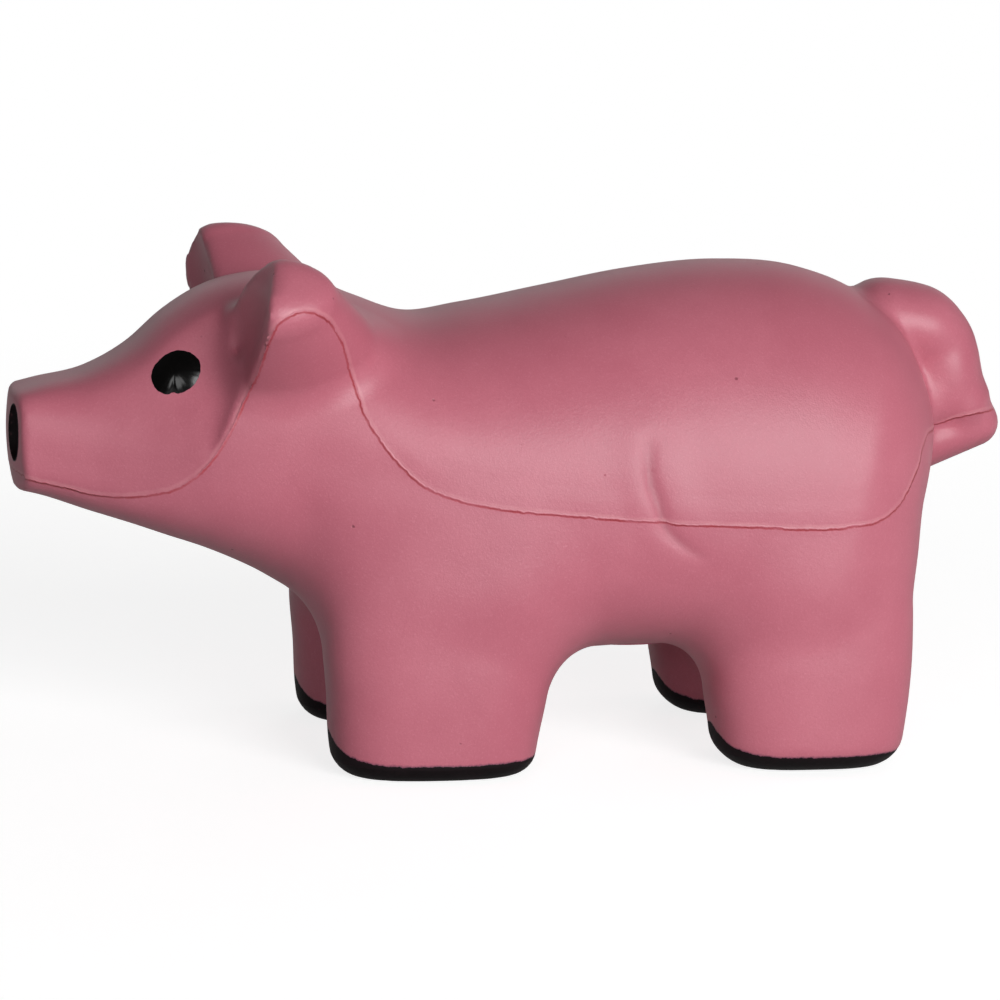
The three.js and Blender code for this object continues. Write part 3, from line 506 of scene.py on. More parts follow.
# The surface where a field is zero, on a grid of equal cells: a cell that the surface passes holds
# one point, at the mean of the places where the surface crosses the cell's edges, and each crossed
# edge holds one four-sided face between the points of the four cells round it
def surfaceNet(field, low, high, cell):
    lines = [np.arange(int(math.ceil((b - a) / cell)) + 1) * cell + a for a, b in zip(low, high)]
    value = field(*np.meshgrid(*lines, indexing="ij", sparse=True))
    inside = value < 0
    shape = np.array(value.shape)
    total = np.zeros((value.size, 3))
    hits = np.zeros(value.size)
    rings = []
    for axis in range(3):
        first, second = [slice(None)] * 3, [slice(None)] * 3
        first[axis], second[axis] = slice(None, -1), slice(1, None)
        first, second = tuple(first), tuple(second)
        crossed = inside[first] != inside[second]
        at = np.argwhere(crossed)
        share = value[first][crossed] / (value[first][crossed] - value[second][crossed])
        place = at.astype(float)
        place[:, axis] += share
        ring = []
        for u, v in ((-1, -1), (0, -1), (0, 0), (-1, 0)):
            corner = at.copy()
            corner[:, (axis + 1) % 3] += u
            corner[:, (axis + 2) % 3] += v
            key = np.ravel_multi_index(corner.T, shape)
            ring.append(key)
            hits += np.bincount(key, minlength=value.size)
            for k in range(3):
                total[:, k] += np.bincount(key, weights=place[:, k], minlength=value.size)
        ring = np.stack(ring, axis=1)
        leaving = inside[first][crossed]
        rings.append(np.where(leaving[:, None], ring, ring[:, ::-1]))
    used = np.flatnonzero(hits)
    number = np.full(value.size, -1)
    number[used] = np.arange(len(used))
    points = total[used] / hits[used, None] * cell + np.array(low)
    return settle(field, points, cell * 0.9), number[np.concatenate(rings)]


# Points in millimetres, and faces that all have the same number of corners, to a piece in the frame
def pieceOf(name, points, *faceSets):
    mesh = bpy.data.meshes.new(name)
    place = inFrame(points).astype(np.float32)
    corners = np.concatenate([faces.ravel() for faces in faceSets]).astype(np.int32)
    counts = np.concatenate([np.full(len(faces), faces.shape[1]) for faces in faceSets])
    starts = np.concatenate([[0], np.cumsum(counts)[:-1]]).astype(np.int32)
    mesh.vertices.add(len(place))
    mesh.vertices.foreach_set("co", place.ravel())
    mesh.loops.add(len(corners))
    mesh.loops.foreach_set("vertex_index", corners)
    mesh.polygons.add(len(counts))
    mesh.polygons.foreach_set("loop_start", starts)
    mesh.update(calc_edges=True)
    mesh.validate()
    piece = bpy.data.objects.new(name, mesh)
    scene.collection.objects.link(piece)
    return piece


# Faces of a grid of rows by columns whose columns close into rings; the first and last rows may
# run in to a single point each, which are the two numbers after the grid
def ringFaces(rows, columns):
    row, column = np.meshgrid(np.arange(rows - 1), np.arange(columns), indexing="ij")
    after = (column + 1) % columns
    quads = np.stack([row * columns + column, row * columns + after,
                      (row + 1) * columns + after, (row + 1) * columns + column], axis=-1)
    ring = np.arange(columns)
    follow = (ring + 1) % columns
    start, end = rows * columns, rows * columns + 1
    last = (rows - 1) * columns
    caps = np.concatenate([
        np.stack([follow, ring, np.full(columns, start)], axis=-1),
        np.stack([last + ring, last + follow, np.full(columns, end)], axis=-1),
    ])
    return quads.reshape(-1, 4), caps


# Surface turned about an upright axis: radius and level along a profile, by the angle round it
def turnedPiece(name, profile, centre, columns):
    profile = np.array(profile, float)
    angle = np.arange(columns) * 2 * math.pi / columns
    radius, level = profile[1:-1, 0][:, None], profile[1:-1, 1][:, None]
    grid = np.stack([radius * np.cos(angle), radius * np.sin(angle), level + 0 * angle], axis=-1)
    ends = np.array([[0, 0, profile[0, 1]], [0, 0, profile[-1, 1]]])
    points = np.concatenate([grid.reshape(-1, 3), ends]) + [centre[0], centre[1], 0]
    return pieceOf(name, points, *ringFaces(len(profile) - 2, columns))


# Ellipsoid: polar angle from one end to the other, by the angle round it, on three half axes
def ellipsoidPiece(name, centre, axes):
    rows, columns = 20, 40
    polar = (np.arange(rows) + 1)[:, None] * math.pi / (rows + 1)
    angle = np.arange(columns) * 2 * math.pi / columns
    ball = [np.sin(polar) * np.cos(angle), np.sin(polar) * np.sin(angle), -np.cos(polar) + 0 * angle]
    points = np.concatenate([np.stack(ball, axis=-1).reshape(-1, 3), [[0, 0, -1], [0, 0, 1]]])
    return pieceOf(name, points @ axes + np.array(centre), *ringFaces(rows, columns))


def carve(piece, *cutters):
    for cutter in cutters:
        change = piece.modifiers.new("carve", "BOOLEAN")
        change.operation = "DIFFERENCE"
        change.solver = "MANIFOLD"
        change.object = cutter
    ready = piece.evaluated_get(bpy.context.evaluated_depsgraph_get())
    shaped = bpy.data.meshes.new_from_object(ready)
    piece.modifiers.clear()
    piece.data = shaped
    for cutter in cutters:
        bpy.data.objects.remove(cutter)


def pointsOf(mesh):
    place = np.empty(len(mesh.vertices) * 3, np.float32)
    mesh.vertices.foreach_get("co", place)
    return inPig(place.reshape(-1, 3))


def smooth(piece, angle=40.0):
    piece.data.polygons.foreach_set("use_smooth", np.ones(len(piece.data.polygons), bool))
    piece.data.set_sharp_from_angle(angle=math.radians(angle))
    piece.data.update()


# Where the two halves of the mould met, as x and z seen from the side
partingLine = np.array([
    (-59.6, 34.6), (-57.77, 34.02), (-55.77, 33.45), (-53.9, 33.09), (-52.04, 32.74), (-50.18, 32.32),
    (-48.0, 32.12), (-44.55, 32.46), (-40.21, 33.84), (-37.9, 35.73), (-34.95, 40.1), (-33.2, 44.11),
    (-32.2, 47.81), (-31.6, 51.82), (-30.9, 53.86), (-29.55, 54.92), (-27.27, 55.31), (-25.43, 54.53),
    (-23.28, 51.93), (-21.6, 47.9), (-20.56, 44.97), (-19.8, 42.77), (-18.16, 40.03), (-15.91, 37.26),
    (-13.09, 34.82), (-9.13, 33.29), (-4.56, 32.42), (2.39, 31.72), (12.91, 30.87), (24.68, 30.27),
    (36.75, 30.12), (40.69, 30.71), (43.4, 32.3), (45.35, 34.92), (46.42, 36.66), (47.04, 38.5),
    (48.1, 39.8), (50.2, 39.75), (52.55, 39.26), (54.17, 39.63), (55.58, 40.2), (58.15, 40.7),
    (60.6, 40.75), (62.4, 40.6),
])

# The ridge beside the parting line: how proud it stands, from where to where it rises and how soon it falls
# off over the line, then the strip in which its colour and the painted highlight beside it show, from none
# to whole
ridge = {
    "proud": 0.05,
    "rise": (-0.25, 0.25),
    "fall": 1.2,
    "strip": (3.4, 1.8),
    "farthest": 4.0,
    "steps": 640,
}

# The fold in front of the haunch, from its upper end down. Each of its forms has a height, a place behind
# the line and a width. Its ends fade by a sine between these two shares of a half turn.
fold = {
    "line": np.array([(12.7, 39.8), (12.9, 35.8), (13.9, 32.9), (14.9, 30.2), (16.8, 28.3), (19.6, 26.7)]),
    "forms": ((-0.36, 0.0, 0.6), (0.17, -1.9, 1.6), (0.2, 2.6, 2.4)),
    "fade": (0.09, 0.95),
    "softness": 0.8,
    # Width of the painted shade that darkens the skin along the fold's crease
    "creaseShade": 0.42,
    "steps": 90,
}

# Hoof paint: a low band's level, and a peak on the foot's front: its height, its width, and the shares
# of the foot's half length ahead of its middle where it starts and is whole
hoof = {
    "level": 2.2,
    "peak": 2.7,
    "width": 0.55,
    "front": (0.4, 0.85),
}


# How far out the skin lies beside places on one side of the pig, 0 where it has none, found in steps
def skinDepth(x, z, side, step):
    depth = np.linspace(pig["reach"], 0, round(pig["reach"] / step) + 1)
    inside = pigField(x[:, None], side * depth, z[:, None]) < 0
    return np.where(inside.any(axis=1), depth[np.argmax(inside, axis=1)], 0)


# Points spread along a side line, on the near side's skin
def lineOnSkin(line, count):
    run = np.concatenate([[0], np.cumsum(np.hypot(*np.diff(line, axis=0).T))])
    along = np.linspace(0, run[-1], count)
    x, z = (curveThrough(along, run, column) for column in line.T)
    return np.stack([x, -skinDepth(x, z, -1, 0.05), z], axis=1)


# Distance from each point to the nearest of a line's points, and which one that is
def nearestOn(line, points):
    gap = np.empty(len(points))
    which = np.empty(len(points), int)
    batch = 20000
    for start in range(0, len(points), batch):
        part = points[start:start + batch]
        apart = ((part[:, None, :] - line[None]) ** 2).sum(2)
        nearest = apart.argmin(1)
        which[start:start + batch] = nearest
        gap[start:start + batch] = np.sqrt(apart[np.arange(len(part)), nearest])
    return gap, which


# Distance to a side line on the skin, alike on both sides of the pig: positive over a line that runs
# towards the tail, and behind one that runs down. Then the share of the line that is passed there.
def gapTo(line, points, count):
    laid = lineOnSkin(line, count)
    near = points * [1, 0, 1] - np.abs(points) * [0, 1, 0]
    gap, which = nearestOn(laid, near)
    run = laid[np.minimum(which + 1, count - 1)] - laid[np.maximum(which - 1, 0)]
    off = near - laid[which]
    over = run[:, 0] * off[:, 2] - run[:, 2] * off[:, 0]
    return np.where(over >= 0, gap, -gap), which / (count - 1)


def partingGap(points):
    return gapTo(partingLine, points, ridge["steps"])[0]


# Distance across the fold, and a share that fades out at the fold's ends
def foldGap(points):
    side, share = gapTo(fold["line"], points, fold["steps"])
    start, end = fold["fade"]
    return side, np.sin(math.pi * (start + share * (end - start))) ** fold["softness"]


def foldRelief(points):
    side, fade = foldGap(points)
    return sum(height * bell(side - place, width) for height, place, width in fold["forms"]) * fade


# Level that the hoof paint reaches round a foot
def hoofLevel(points):
    x, y, _ = points.T
    _, middle, half = np.where((x < pig["betweenLegs"])[:, None], frontLeg[0], rearLeg[0]).T
    aside = np.abs(np.abs(y) - pig["legSpread"]) / legAcross[0, 1]
    peak = bell(aside, hoof["width"]) * ramp((middle - x) / half, *hoof["front"])
    return hoof["level"] + hoof["peak"] * peak


def makeSkin():
    points, faces = surfaceNet(pigField, *pig["room"], pig["cell"])
    points[:, 2] = np.where(points[:, 2] < pig["flat"], 0, points[:, 2])
    out = slopeOf(pigField, points)
    out /= np.linalg.norm(out, axis=1)[:, None]
    gap = partingGap(points)
    proud = ridge["proud"] * ramp(gap, *ridge["rise"]) * np.exp(-np.maximum(gap, 0) / ridge["fall"])
    points = points + out * (foldRelief(points) + proud)[:, None]
    skin = pieceOf("pigSkin", points, faces)
    print("skin: %d points, %d faces" % (len(points), len(faces)))
    return skin


# Cuts a closed mesh at a level and closes the cut; keeps what is over it or under it
def cutAt(mesh, level, over):
    work = bmesh.new()
    work.from_mesh(mesh)
    everything = work.verts[:] + work.edges[:] + work.faces[:]
    cut = bmesh.ops.bisect_plane(work, geom=everything, dist=1e-7, plane_co=(0, 0, level),
                                 plane_no=(0, 0, 1), clear_inner=over, clear_outer=not over)
    rim = [item for item in cut["geom_cut"] if isinstance(item, bmesh.types.BMEdge)]
    filled = bmesh.ops.holes_fill(work, edges=rim, sides=0)
    bmesh.ops.triangulate(work, faces=filled["faces"])
    kept = bpy.data.meshes.new(mesh.name)
    work.to_mesh(kept)
    work.free()
    return kept


# Turns a closed piece's faces outwards
def facing(piece):
    work = bmesh.new()
    work.from_mesh(piece.data)
    bmesh.ops.recalc_face_normals(work, faces=work.faces[:])
    work.to_mesh(piece.data)
    work.free()


# The painted eyes. The rim is how far their edge stands over the skin and reaches under it, and the back
# how full they are behind it.
eye = {
    "x": -40.4,
    "z": 46.42,
    "long": 2.95,
    "short": 2.57,
    "lean": 32.0,
    "thick": 1.2,
    "sink": 0.45,
    "crown": 0.55,
    "rim": (0.05, 0.12),
    "back": 0.6,
    "ragged": 0.02,
    "notch": {"at": -88.0, "width": 7.0, "depth": 0.12},
    "pocket": {"inset": 0.12, "deeper": 0.1},
    "rings": 16,
    "columns": 120,
}


# The skin's point beside the eye's middle, and three directions: the eye's long way, its short way up
# and the way out of the skin
def eyePlace(side):
    x, z = eye["x"], eye["z"]
    y = side * skinDepth(np.array([x]), np.array([z]), side, 0.001)[0]
    out = slopeOf(pigField, np.array([[x, y, z]]))[0]
    out /= np.linalg.norm(out)
    along = np.cross([0, 0, 1], out)
    along *= math.copysign(1, along[0]) / np.linalg.norm(along)
    up = np.cross(out, along)
    up *= math.copysign(1, up[2])
    lean = math.radians(eye["lean"])
    longWay = along * math.cos(lean) + up * math.sin(lean)
    shortWay = up * math.cos(lean) - along * math.sin(lean)
    return np.array([x, y, z]), longWay, shortWay, out


# Painted eye: share of the radius by the angle, laid on the skin and raised in a low dome,
# with a slightly ragged outline and one chip out of its lower edge
def makeEye(name, side):
    point, longWay, shortWay, out = eyePlace(side)
    angle = np.arange(eye["columns"]) * 2 * math.pi / eye["columns"]
    waves = ((5, side, 0.5), (11, 2, 0.3), (23, 1, 0.25))  # how many go round, phase, height
    ragged = sum(height * np.sin(count * angle + phase) for count, phase, height in waves)
    notch = eye["notch"]
    fromNotch = (np.degrees(angle) - notch["at"] + 180) % 360 - 180
    outline = 1 + eye["ragged"] * ragged - notch["depth"] * bell(fromNotch, notch["width"])
    share = np.sin(np.linspace(0.05, 1, eye["rings"]) * math.pi / 2)
    turned = (angle - math.radians(eye["lean"]))[:, None]
    edge = eye["long"] * np.cos(turned) * longWay + eye["short"] * np.sin(turned) * shortWay
    flat = share[:, None, None] * outline[:, None] * edge
    laid = point + np.concatenate([[[0, 0, 0]], flat.reshape(-1, 3)])
    for _ in range(5):
        fall = slopeOf(pigField, laid) @ out
        laid = laid - out * (pigField(*laid.T) / fall)[:, None]
    middle = 1 - np.concatenate([[0], np.repeat(share, len(angle))])[:, None] ** 2
    over, under = eye["rim"]
    front = laid + out * (over + eye["crown"] * middle)
    behind = laid - out * (under + (eye["thick"] + eye["sink"] - under) * eye["back"] * middle)
    rings = (len(share), len(angle), 3)
    grid = np.concatenate([front[1:].reshape(rings), behind[1:].reshape(rings)[::-1]])
    points = np.concatenate([grid.reshape(-1, 3), front[:1], behind[:1]])
    piece = pieceOf(name, points, *ringFaces(2 * len(share), len(angle)))
    facing(piece)
    return piece


# Nostrils: a painted lens at a depth in the snout's face, in a pocket with a gap round it, under a dish.
# The foam's own paint in the dish ends behind this place.
nostril = {
    "across": 4.7,
    "z": 38.6,
    "lens": (0.5, 1.5, 2.5),
    "depth": 1.4,
    "gap": 0.3,
    "dish": (1.8, 2.3, 3.3),
    "behind": -54.0,
}

# Room in the foam for the capsule, from under the belly up: radius and level
capsule = {
    "x": 14.549,
    "columns": 96,
    "room": [(0, 8.2), (10.25, 8.2), (10.25, 12.55), (9.8, 13.0), (9.8, 15.19), (8.5, 15.19), (8.5, 23.59),
             (17.3, 23.59), (17.3, 46.89), (7.9, 46.89), (7.9, 50.69), (0, 50.69)],
}


def pocketsInSkin():
    cutters = [turnedPiece("room", capsule["room"], (capsule["x"], 0), capsule["columns"])]
    face = pig["snout"]["face"] + nostril["across"] ** 2 / pig["snout"]["across"]
    lens = np.array(nostril["lens"]) + nostril["gap"]
    inset = eye["pocket"]["inset"]
    sizes = (eye["long"] - inset, eye["short"] - inset, eye["thick"] + eye["pocket"]["deeper"])
    for side in (-1, 1):
        point, *ways = eyePlace(side)
        axes = np.array(ways) * np.array(sizes)[:, None]
        cutters.append(ellipsoidPiece("eyePocket", point - ways[2] * eye["sink"], axes))
        for place, radii in ((face + nostril["depth"], lens), (face, nostril["dish"])):
            centre = (place, side * nostril["across"], nostril["z"])
            cutters.append(ellipsoidPiece("nostrilPocket", centre, np.diag(radii)))
    for cutter in cutters:
        facing(cutter)
    return cutters


def addAttribute(piece, name, values):
    made = piece.data.attributes.new(name, "FLOAT", "POINT")
    made.data.foreach_set("value", values.astype(np.float32))


def makeFoam():
    whole = makeSkin()
    level = pig["soleHeight"] / 1000
    feet = cutAt(whole.data, level, False)
    whole.data = cutAt(whole.data, level, True)
    carve(whole, *pocketsInSkin())
    points = pointsOf(whole.data)
    x, y, z = points.T
    gap = partingGap(points)
    addAttribute(whole, "parting", np.clip(gap, -ridge["farthest"], ridge["farthest"]))
    addAttribute(whole, "nearSeam", ramp(np.abs(gap), *ridge["strip"]))
    side, fade = foldGap(points)
    # Where painted shade lies along the fold's crease, fading at its ends
    addAttribute(whole, "creaseShade", bell(side, fold["creaseShade"]) * fade)
    beside = (np.abs(y) - nostril["across"]) / nostril["dish"][1]
    above = (z - nostril["z"]) / nostril["dish"][2]
    addAttribute(whole, "nose", np.hypot(beside, above) + (x > nostril["behind"]))
    addAttribute(whole, "paint", z - hoofLevel(points))
    smooth(whole)
    return whole, feet


# The four painted soles, parted by the side of the pig and the leg that they are on
def makeSoles(feet):
    points = pointsOf(feet)
    feet.calc_loop_triangles()
    corners = np.empty(len(feet.loop_triangles) * 3, np.int32)
    feet.loop_triangles.foreach_get("vertices", corners)
    faces = corners.reshape(-1, 3)
    made = []
    for end, ahead in (("front", True), ("rear", False)):
        for side, sign in (("left", -1), ("right", 1)):
            mine = ((points[:, 0] < pig["betweenLegs"]) == ahead) & (points[:, 1] * sign > 0)
            number = np.cumsum(mine) - 1
            kept = number[faces[mine[faces].all(1)]]
            piece = pieceOf("sole_%s_%s_paint" % (end, side), points[mine], kept)
            smooth(piece, 50)
            made.append((piece, "sole_%s_%s" % (end, side)))
    return made


# The foam's colours, then its patterns' sizes in millimetres, how many of the scattered places have a
# pore and how wide those are, and its roughness
foam = {
    "pink": tint(203, 117, 133),
    "deep": tint(188, 101, 118),
    "light": tint(212, 134, 148),
    "pore": tint(116, 40, 54),
    # Painted shade for the fold's crease
    "creaseShade": tint(134, 60, 74),
    "seam": tint(176, 58, 66),
    # Painted highlight on the proud edge just over the parting line
    "seamHighlight": tint(214, 142, 150),
    "paint": tint(26, 18, 21),
    "paintEdge": tint(84, 46, 74),
    "patchSize": 22,
    "spotSize": 4.5,
    "grainSize": 0.34,
    "fineSize": 0.17,
    "poreSpacing": 3.2,
    "poreShare": 0.2,
    "poreRadius": (0.24, 0.1),
    "roughness": 0.41,
}


def makeFoamFinish():
    skin = Finish("pinkFoam", Specular_IOR_Level=0.5)
    patches = skin.cloud(foam["patchSize"], 3)
    spots = skin.cloud(foam["spotSize"], 3)
    grain = skin.cloud(foam["grainSize"], 3, 0.6)
    fine = skin.cloud(foam["fineSize"], 2)
    speckle = grain + fine * 0.7
    colour = skin.mix((patches * 0.9 + spots * 0.25).ease(-0.6, 0.8), foam["deep"], foam["pink"])
    colour = skin.mix(speckle.ease(0.0, 1.0) * 0.4, colour, foam["light"])
    colour = skin.mix(speckle.ease(0.0, -1.0) * 0.55, colour, foam["deep"])
    # Painted shade: the skin darkened along the fold's crease
    colour = skin.mix(skin.attribute("creaseShade") * 0.5, colour, foam["creaseShade"])
    near, chance = skin.specks(foam["poreSpacing"])
    pore = (near + grain * 0.06).ease(*foam["poreRadius"]) * (chance > 1 - foam["poreShare"])
    colour = skin.mix(pore * 0.65, colour, foam["pore"])
    beside = skin.attribute("nearSeam")
    broken = skin.cloud(3.2, 3).ease(-0.5, 0.3)
    off = skin.attribute("parting") + skin.cloud(1.3, 2) * 0.09 + skin.cloud(0.5, 2) * 0.11
    seam = abs(off + 0.1).ease(0.2, 0.05) * beside
    # Painted highlight along a band just over the line, where the upper half stands proud
    band = abs(off - 0.32).ease(0.36, 0.06) * beside
    colour = skin.mix(band * (0.12 + 0.35 * broken), colour, foam["seamHighlight"])
    colour = skin.mix(seam * (0.35 + 0.5 * broken), colour, foam["seam"])
    paint = skin.attribute("paint") + skin.cloud(0.9, 3) * 0.2 + skin.cloud(0.35, 3, 0.7) * 0.16
    colour = skin.mix(paint.ease(0.3, 0.0) * 0.7, colour, foam["paintEdge"])
    nose = skin.attribute("nose") + skin.cloud(0.8, 2) * 0.05
    painted = paint.ease(0.06, -0.06).above(nose.ease(1.06, 0.99))
    skin.colour(skin.mix(painted, colour, foam["paint"]))
    skin.roughness(foam["roughness"] + spots * 0.04 + grain * 0.06)
    dull = {"Base Color": foam["paint"], "Roughness": 0.62, "Specular IOR Level": 0.12}
    skin.cover(painted, skin.plain, skin.node("BsdfPrincipled", {}, dull))
    flash = abs(off).ease(0.25, 0.0) * (0.03 + 0.05 * broken) * beside
    step = off.ease(-0.12, 0.12) * 0.05 * beside
    skin.relief(flash + step + spots * 0.02 + grain * 0.012 + fine * 0.004 - pore * 0.08 + painted * 0.03)
    return skin


def makePaintFinish():
    paint = Finish("hoofPaint", Specular_IOR_Level=0.12)
    worn = paint.cloud(3.0, 4)
    fine = paint.cloud(0.4, 3)
    paint.colour(paint.mix((worn + fine * 0.4).ease(-0.2, 1.1), tint(17, 11, 13), tint(34, 25, 28)))
    paint.roughness(0.52 + worn * 0.08)
    paint.relief(fine * 0.01 + worn * 0.02)
    return paint


def makeEyeFinish():
    gloss = Finish("eyeGloss", Specular_IOR_Level=0.2, Coat_Weight=0.4, Coat_Roughness=0.15)
    worn = gloss.cloud(0.9, 4)
    gloss.colour(gloss.mix(worn.ease(0.0, 1.0), tint(5, 4, 4), tint(14, 11, 11)))
    gloss.roughness(0.2 + worn * 0.08)
    gloss.relief(gloss.cloud(1.3, 3) * 0.008 + worn * 0.006)
    return gloss


# Moulded plastic or rubber: faint cloudiness, a fine spark-eroded grain
def mouldedFinish(name, colour, roughness, grain=0.25, depth=0.006, specular=0.45):
    made = Finish(name, Specular_IOR_Level=specular)
    cloudy = made.cloud(6.0, 3)
    fine = made.cloud(grain, 3)
    made.colour(made.mix((cloudy + fine * 0.4).ease(-0.9, 0.6), shade(colour, 0.86), colour))
    made.roughness(roughness + fine * 0.05 + cloudy * 0.03)
    made.relief(fine * depth)
    return made


# Metal: brushed or drawn lines, with light stains in the roughness
def metalFinish(name, colour, roughness, stretch=(1.0, 1.0, 12.0), depth=0.004):
    made = Finish(name, Metallic=1.0)
    lines = made.cloud(0.9, 3, stretch=stretch)
    stains = made.cloud(4.0, 4)
    made.colour(made.mix((stains + lines * 0.4).ease(-0.9, 0.7), shade(colour, 0.78), colour))
    made.roughness(roughness + lines * 0.06 + stains * 0.06)
    made.relief(lines * depth)
    return made


# Green resist over copper tracks: each way has the tracks' pitch and their bends in millimetres, and
# the shares of the pitch between which a track's edge lies
board = {
    "resist": tint(24, 84, 46),
    "track": tint(52, 124, 66),
    "ways": (("X", 2.0, 1.4, (0.16, 0.12)), ("Y", 3.1, 1.8, (0.1, 0.07))),
}


def boardFinish():
    made = Finish("greenBoard", Specular_IOR_Level=0.5, Coat_Weight=0.3, Coat_Roughness=0.2)
    bend = made.cloud(7.0, 1)
    along, across = (abs(((made.part(way) * 1000 + bend * most) / pitch).fraction() - 0.5).ease(*edge)
                     for way, pitch, most, edge in board["ways"])
    lines = along.above(across) * made.cloud(5.0, 2).ease(-0.1, 0.05)
    made.colour(made.mix(lines, board["resist"], board["track"]))
    made.roughness(0.36 + made.cloud(0.5, 3) * 0.05)
    made.relief(lines * 0.03 + made.cloud(0.6, 3) * 0.003)
    return made


# Windings: fine turns of enamelled wire round the rotor, with painted shade darkening the grooves between
# the turns
def windingFinish():
    made = Finish("copperWinding", Metallic=1.0)
    pitch = 0.16
    turns = (made.part("Z") * (1000 * 2 * math.pi / pitch)).sine()
    # Painted shade: darker copper in the grooves between turns, lighter on their crests
    made.colour(made.mix(turns.ease(-1.0, 0.6), tint(96, 44, 20), tint(190, 112, 62)))
    made.roughness(0.34 + made.cloud(0.6, 3) * 0.06)
    made.relief(turns * 0.02)
    return made


# The push button's return spring, in the CAD spring's room: the wire's radius and the points round it
# and along it, then the level of its seat in metres and the share of its height that is kept
spring = {
    "wire": 0.25,
    "turns": 2,
    "round": 16,
    "steps": 97,
    "seat": 0.0466,
    "keep": 0.52,
}


def makeSpring(finish):
    low, high = (inPig(corner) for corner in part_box("button_spring"))
    middle, wire = (low + high) / 2, spring["wire"]
    around = np.linspace(0, 2 * math.pi * spring["turns"], spring["steps"])[:, None]
    across = np.arange(spring["round"]) * 2 * math.pi / spring["round"]
    out = (high[0] - low[0]) / 2 - wire + wire * np.cos(across)
    centre = low[2] + wire + (high[2] - low[2] - 2 * wire) * around / around[-1]
    grid = np.stack([middle[0] + out * np.cos(around), middle[1] + out * np.sin(around),
                     centre + wire * np.sin(across)], axis=-1)
    points = np.concatenate([grid.reshape(-1, 3), grid[[0, -1]].mean(axis=1)])
    piece = pieceOf("button_spring_coil", points, *ringFaces(spring["steps"], spring["round"]))
    facing(piece)
    smooth(piece, 50)
    coat(piece, finish)
    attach(piece, "pig")
    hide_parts("button_spring")
    seat = (*inFrame(middle)[:2].tolist(), spring["seat"])
    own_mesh(piece)
    print("spring made")


def dressNodes():
    pinkPlastic = mouldedFinish("pinkPlastic", tint(192, 110, 126), 0.46)
    whitePlastic = mouldedFinish("whitePlastic", tint(226, 224, 217), 0.45)
    blackPlastic = mouldedFinish("blackPlastic", tint(28, 28, 30), 0.42)
    greyPlastic = mouldedFinish("greyPlastic", tint(138, 140, 146), 0.44)
    blackRubber = mouldedFinish("blackRubber", tint(30, 30, 31), 0.72, grain=0.35, depth=0.01, specular=0.3)
    nostrilPaint = mouldedFinish("nostrilPaint", tint(15, 11, 12), 0.6, grain=0.3, depth=0.01, specular=0.12)
    redLead = mouldedFinish("redLead", tint(172, 30, 24), 0.38)
    blackLead = mouldedFinish("blackLead", tint(24, 24, 26), 0.38)
    brass = metalFinish("brassSheet", tint(206, 166, 86), 0.3, stretch=(1.0, 9.0, 1.0))
    steel = metalFinish("brightSteel", tint(196, 198, 202), 0.26)
    wire = metalFinish("steelWire", tint(186, 188, 192), 0.3, stretch=(1.0, 1.0, 4.0))
    magnet = metalFinish("darkMagnet", tint(84, 84, 88), 0.55, stretch=(1.0, 1.0, 1.0))
    weight = metalFinish("weightSteel", tint(160, 160, 164), 0.38, stretch=(1.0, 1.0, 1.0), depth=0.008)
    table = (
        (pinkPlastic, "battery_cap"),
        (greyPlastic, "push_button", "switch_plunger"),
        (blackRubber, "cap_gasket", "motor_sleeve"),
        (brass, "cap_contact_plate", "positive_contact", "contact_strip"),
        (wire, "contact_spring"),
        (steel, "button_clip", "motor_can", "rotor_shaft"),
        (weight, "eccentric_weight"),
        (magnet, "motor_magnet"),
        (windingFinish(), "rotor_core"),
        (boardFinish(), "circuit_board"),
        (blackPlastic, "timer_chip", "switch_body", "motor_end_cap"),
        (whitePlastic, "capsule_lower_shell", "capsule_upper_shell"),
        (nostrilPaint, "nostril_left", "nostril_right"),
        (redLead, "motor_lead_positive"),
        (blackLead, "motor_lead_negative"),
    )
    for finish, *names in table:
        for name in names:
            coat(nodes[name], finish)
    for name in nodes:
        if name.startswith(("button_cell", "board_screw", "shell_screw")):
            coat(nodes[name], steel)
    makeSpring(wire)


def dressPig():
    skin, feet = makeFoam()
    coat(skin, makeFoamFinish())
    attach(skin, "pig")
    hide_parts("foam_body")
    print("foam skin made")
    paint = makePaintFinish()
    for piece, node in makeSoles(feet):
        coat(piece, paint)
        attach(piece, "pig")
        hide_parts(node)
    gloss = makeEyeFinish()
    for name, side in (("left", -1), ("right", 1)):
        piece = makeEye("eye_%s_paint" % name, side)
        coat(piece, gloss)
        smooth(piece, 60)
        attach(piece, "pig")
        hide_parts("eye_" + name)
    print("soles and eyes made")


dressPig()
dressNodes()
print("materials set")

# Soft studio: a wide lamp beside the camera, a small one before the snout, two behind, a pale floor.
# In mirror images the sky grows white towards the back and upwards, between these places and up to this
# share, and the floor glows by a share. Seen by the camera, it clears to white between two distances.
studio = {
    "fill": 0.045,
    "key": {"turn": 19.0, "lift": 16.0, "distance": 0.9, "size": 0.6, "power": 6.9},
    "side": {"turn": -27.0, "lift": 17.0, "distance": 0.9, "size": 0.36, "power": 1.05},
    "far": {"turn": 156.0, "lift": 7.0, "distance": 0.9, "size": 0.6, "power": 2.6, "sheen": False},
    "rear": {"turn": 105.0, "lift": 14.0, "distance": 0.9, "size": 0.5, "power": 1.2, "sheen": False},
    "sky": ((0.5, 0.95), (-0.15, 0.35), 0.8),
    "floorHalf": 3.0,
    "floor": (0.5, 0.5, 0.5, 1.0),
    "floorGlow": 0.8,
    "floorMirror": 0.2,
    "clearing": (0.09, 0.4),
}


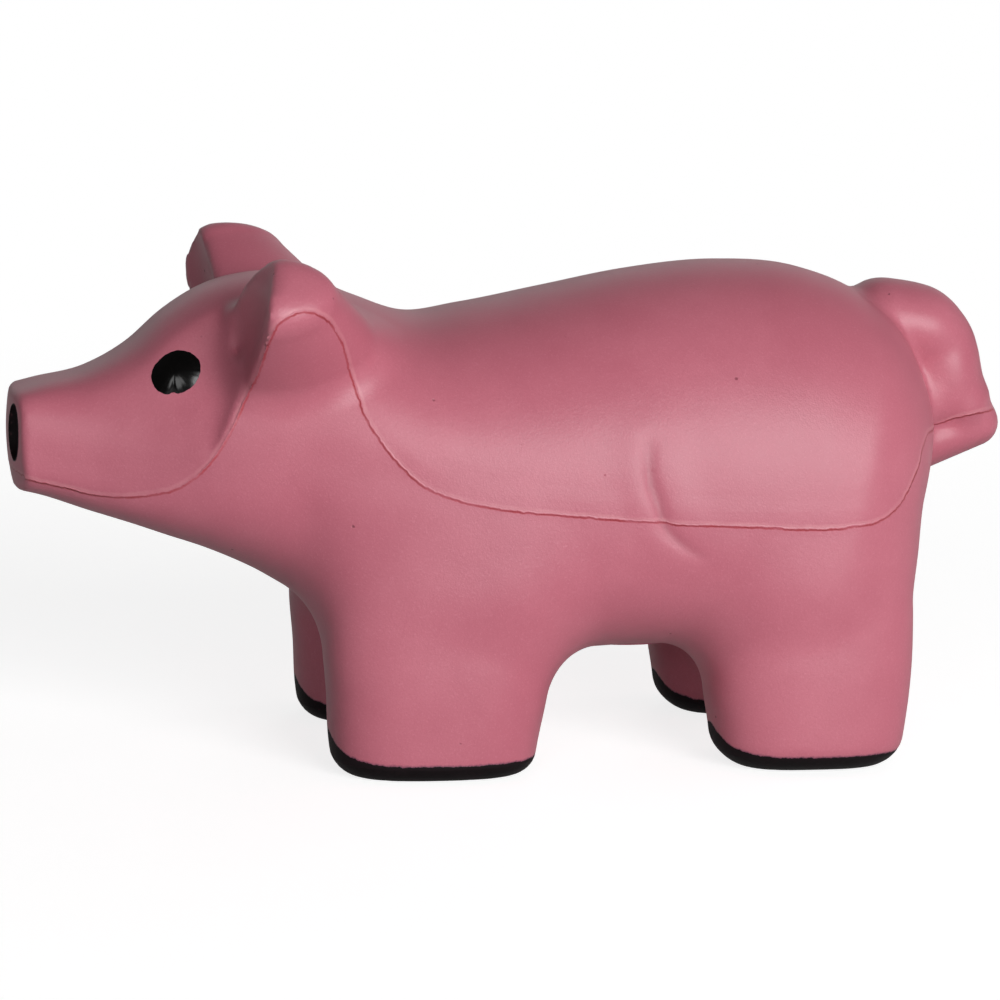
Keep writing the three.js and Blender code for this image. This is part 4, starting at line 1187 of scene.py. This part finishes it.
def placeLamp(name, lamp):
    way = wayOut(lamp["turn"], lamp["lift"])
    light = bpy.data.lights.new(name, "AREA")
    light.shape = "DISK"
    light.size = lamp["size"]
    light.energy = lamp["power"]
    made = bpy.data.objects.new(name, light)
    place = Vector(shot["target"]) + way * lamp["distance"]
    made.matrix_world = Matrix.Translation(place) @ way.to_track_quat("Z", "Y").to_matrix().to_4x4()
    made.visible_glossy = lamp.get("sheen", True)
    scene.collection.objects.link(made)


# Rays that see the white backdrop: the camera's, and the mirror and glass ones by this share
def backdropRay(finish, share):
    mirror = finish.node("LightPath", {}, {}, "Is Glossy Ray")
    through = finish.node("LightPath", {}, {}, "Is Transmission Ray")
    return finish.node("LightPath", {}, {}, "Is Camera Ray").above(mirror.above(through) * share)


class WorldFinish(Finish):
    def __init__(self, world):
        world.use_nodes = True
        self.tree = world.node_tree
        self.shader = self.tree.nodes["Background"]
        self.place = self.node("TexCoord", {}, {}, "Generated")


def makeSky():
    scene.world = bpy.data.worlds.new("studio")
    sky = WorldFinish(scene.world)
    back, up, most = studio["sky"]
    white = backdropRay(sky, sky.part("Y").ease(*back) * sky.part("Z").ease(*up) * most)
    sky.feed(sky.shader.inputs["Color"], (1.0, 1.0, 1.0, 1.0))
    sky.feed(sky.shader.inputs["Strength"], white * (1 - studio["fill"]) + studio["fill"])


# The floor is pale round the pig and runs out into the backdrop's white
def makeFloor():
    corners = np.array([(-1, -1, 0), (1, -1, 0), (1, 1, 0), (-1, 1, 0)]) * studio["floorHalf"]
    mesh = bpy.data.meshes.new("floor")
    mesh.from_pydata(corners.tolist(), [], [(0, 1, 2, 3)])
    floor = bpy.data.objects.new("floor", mesh)
    scene.collection.objects.link(floor)
    pale = Finish("paleFloor", Roughness=0.9, Specular_IOR_Level=0.1)
    pale.colour(pale.mix(pale.cloud(9, 2).ease(-1, 1), shade(studio["floor"], 0.96), studio["floor"]))
    seen = backdropRay(pale, studio["floorMirror"])
    glow = pale.node("Emission", {}, {"Strength": seen * studio["floorGlow"]})
    near = pale.node("AddShader", {}, {0: pale.plain, 1: glow})
    far = pale.node("Emission", {}, {"Strength": 1.0})
    away = pale.node("VectorMath", {"operation": "LENGTH"}, {0: pale.place}, "Value")
    pale.cover(away.ease(*studio["clearing"]) * seen, near, far)
    coat(floor, pale)


def makeStudio():
    for name in ("key", "side", "far", "rear"):
        placeLamp(name + "Lamp", studio[name])
    makeSky()
    makeFloor()


makeStudio()
print("studio made")
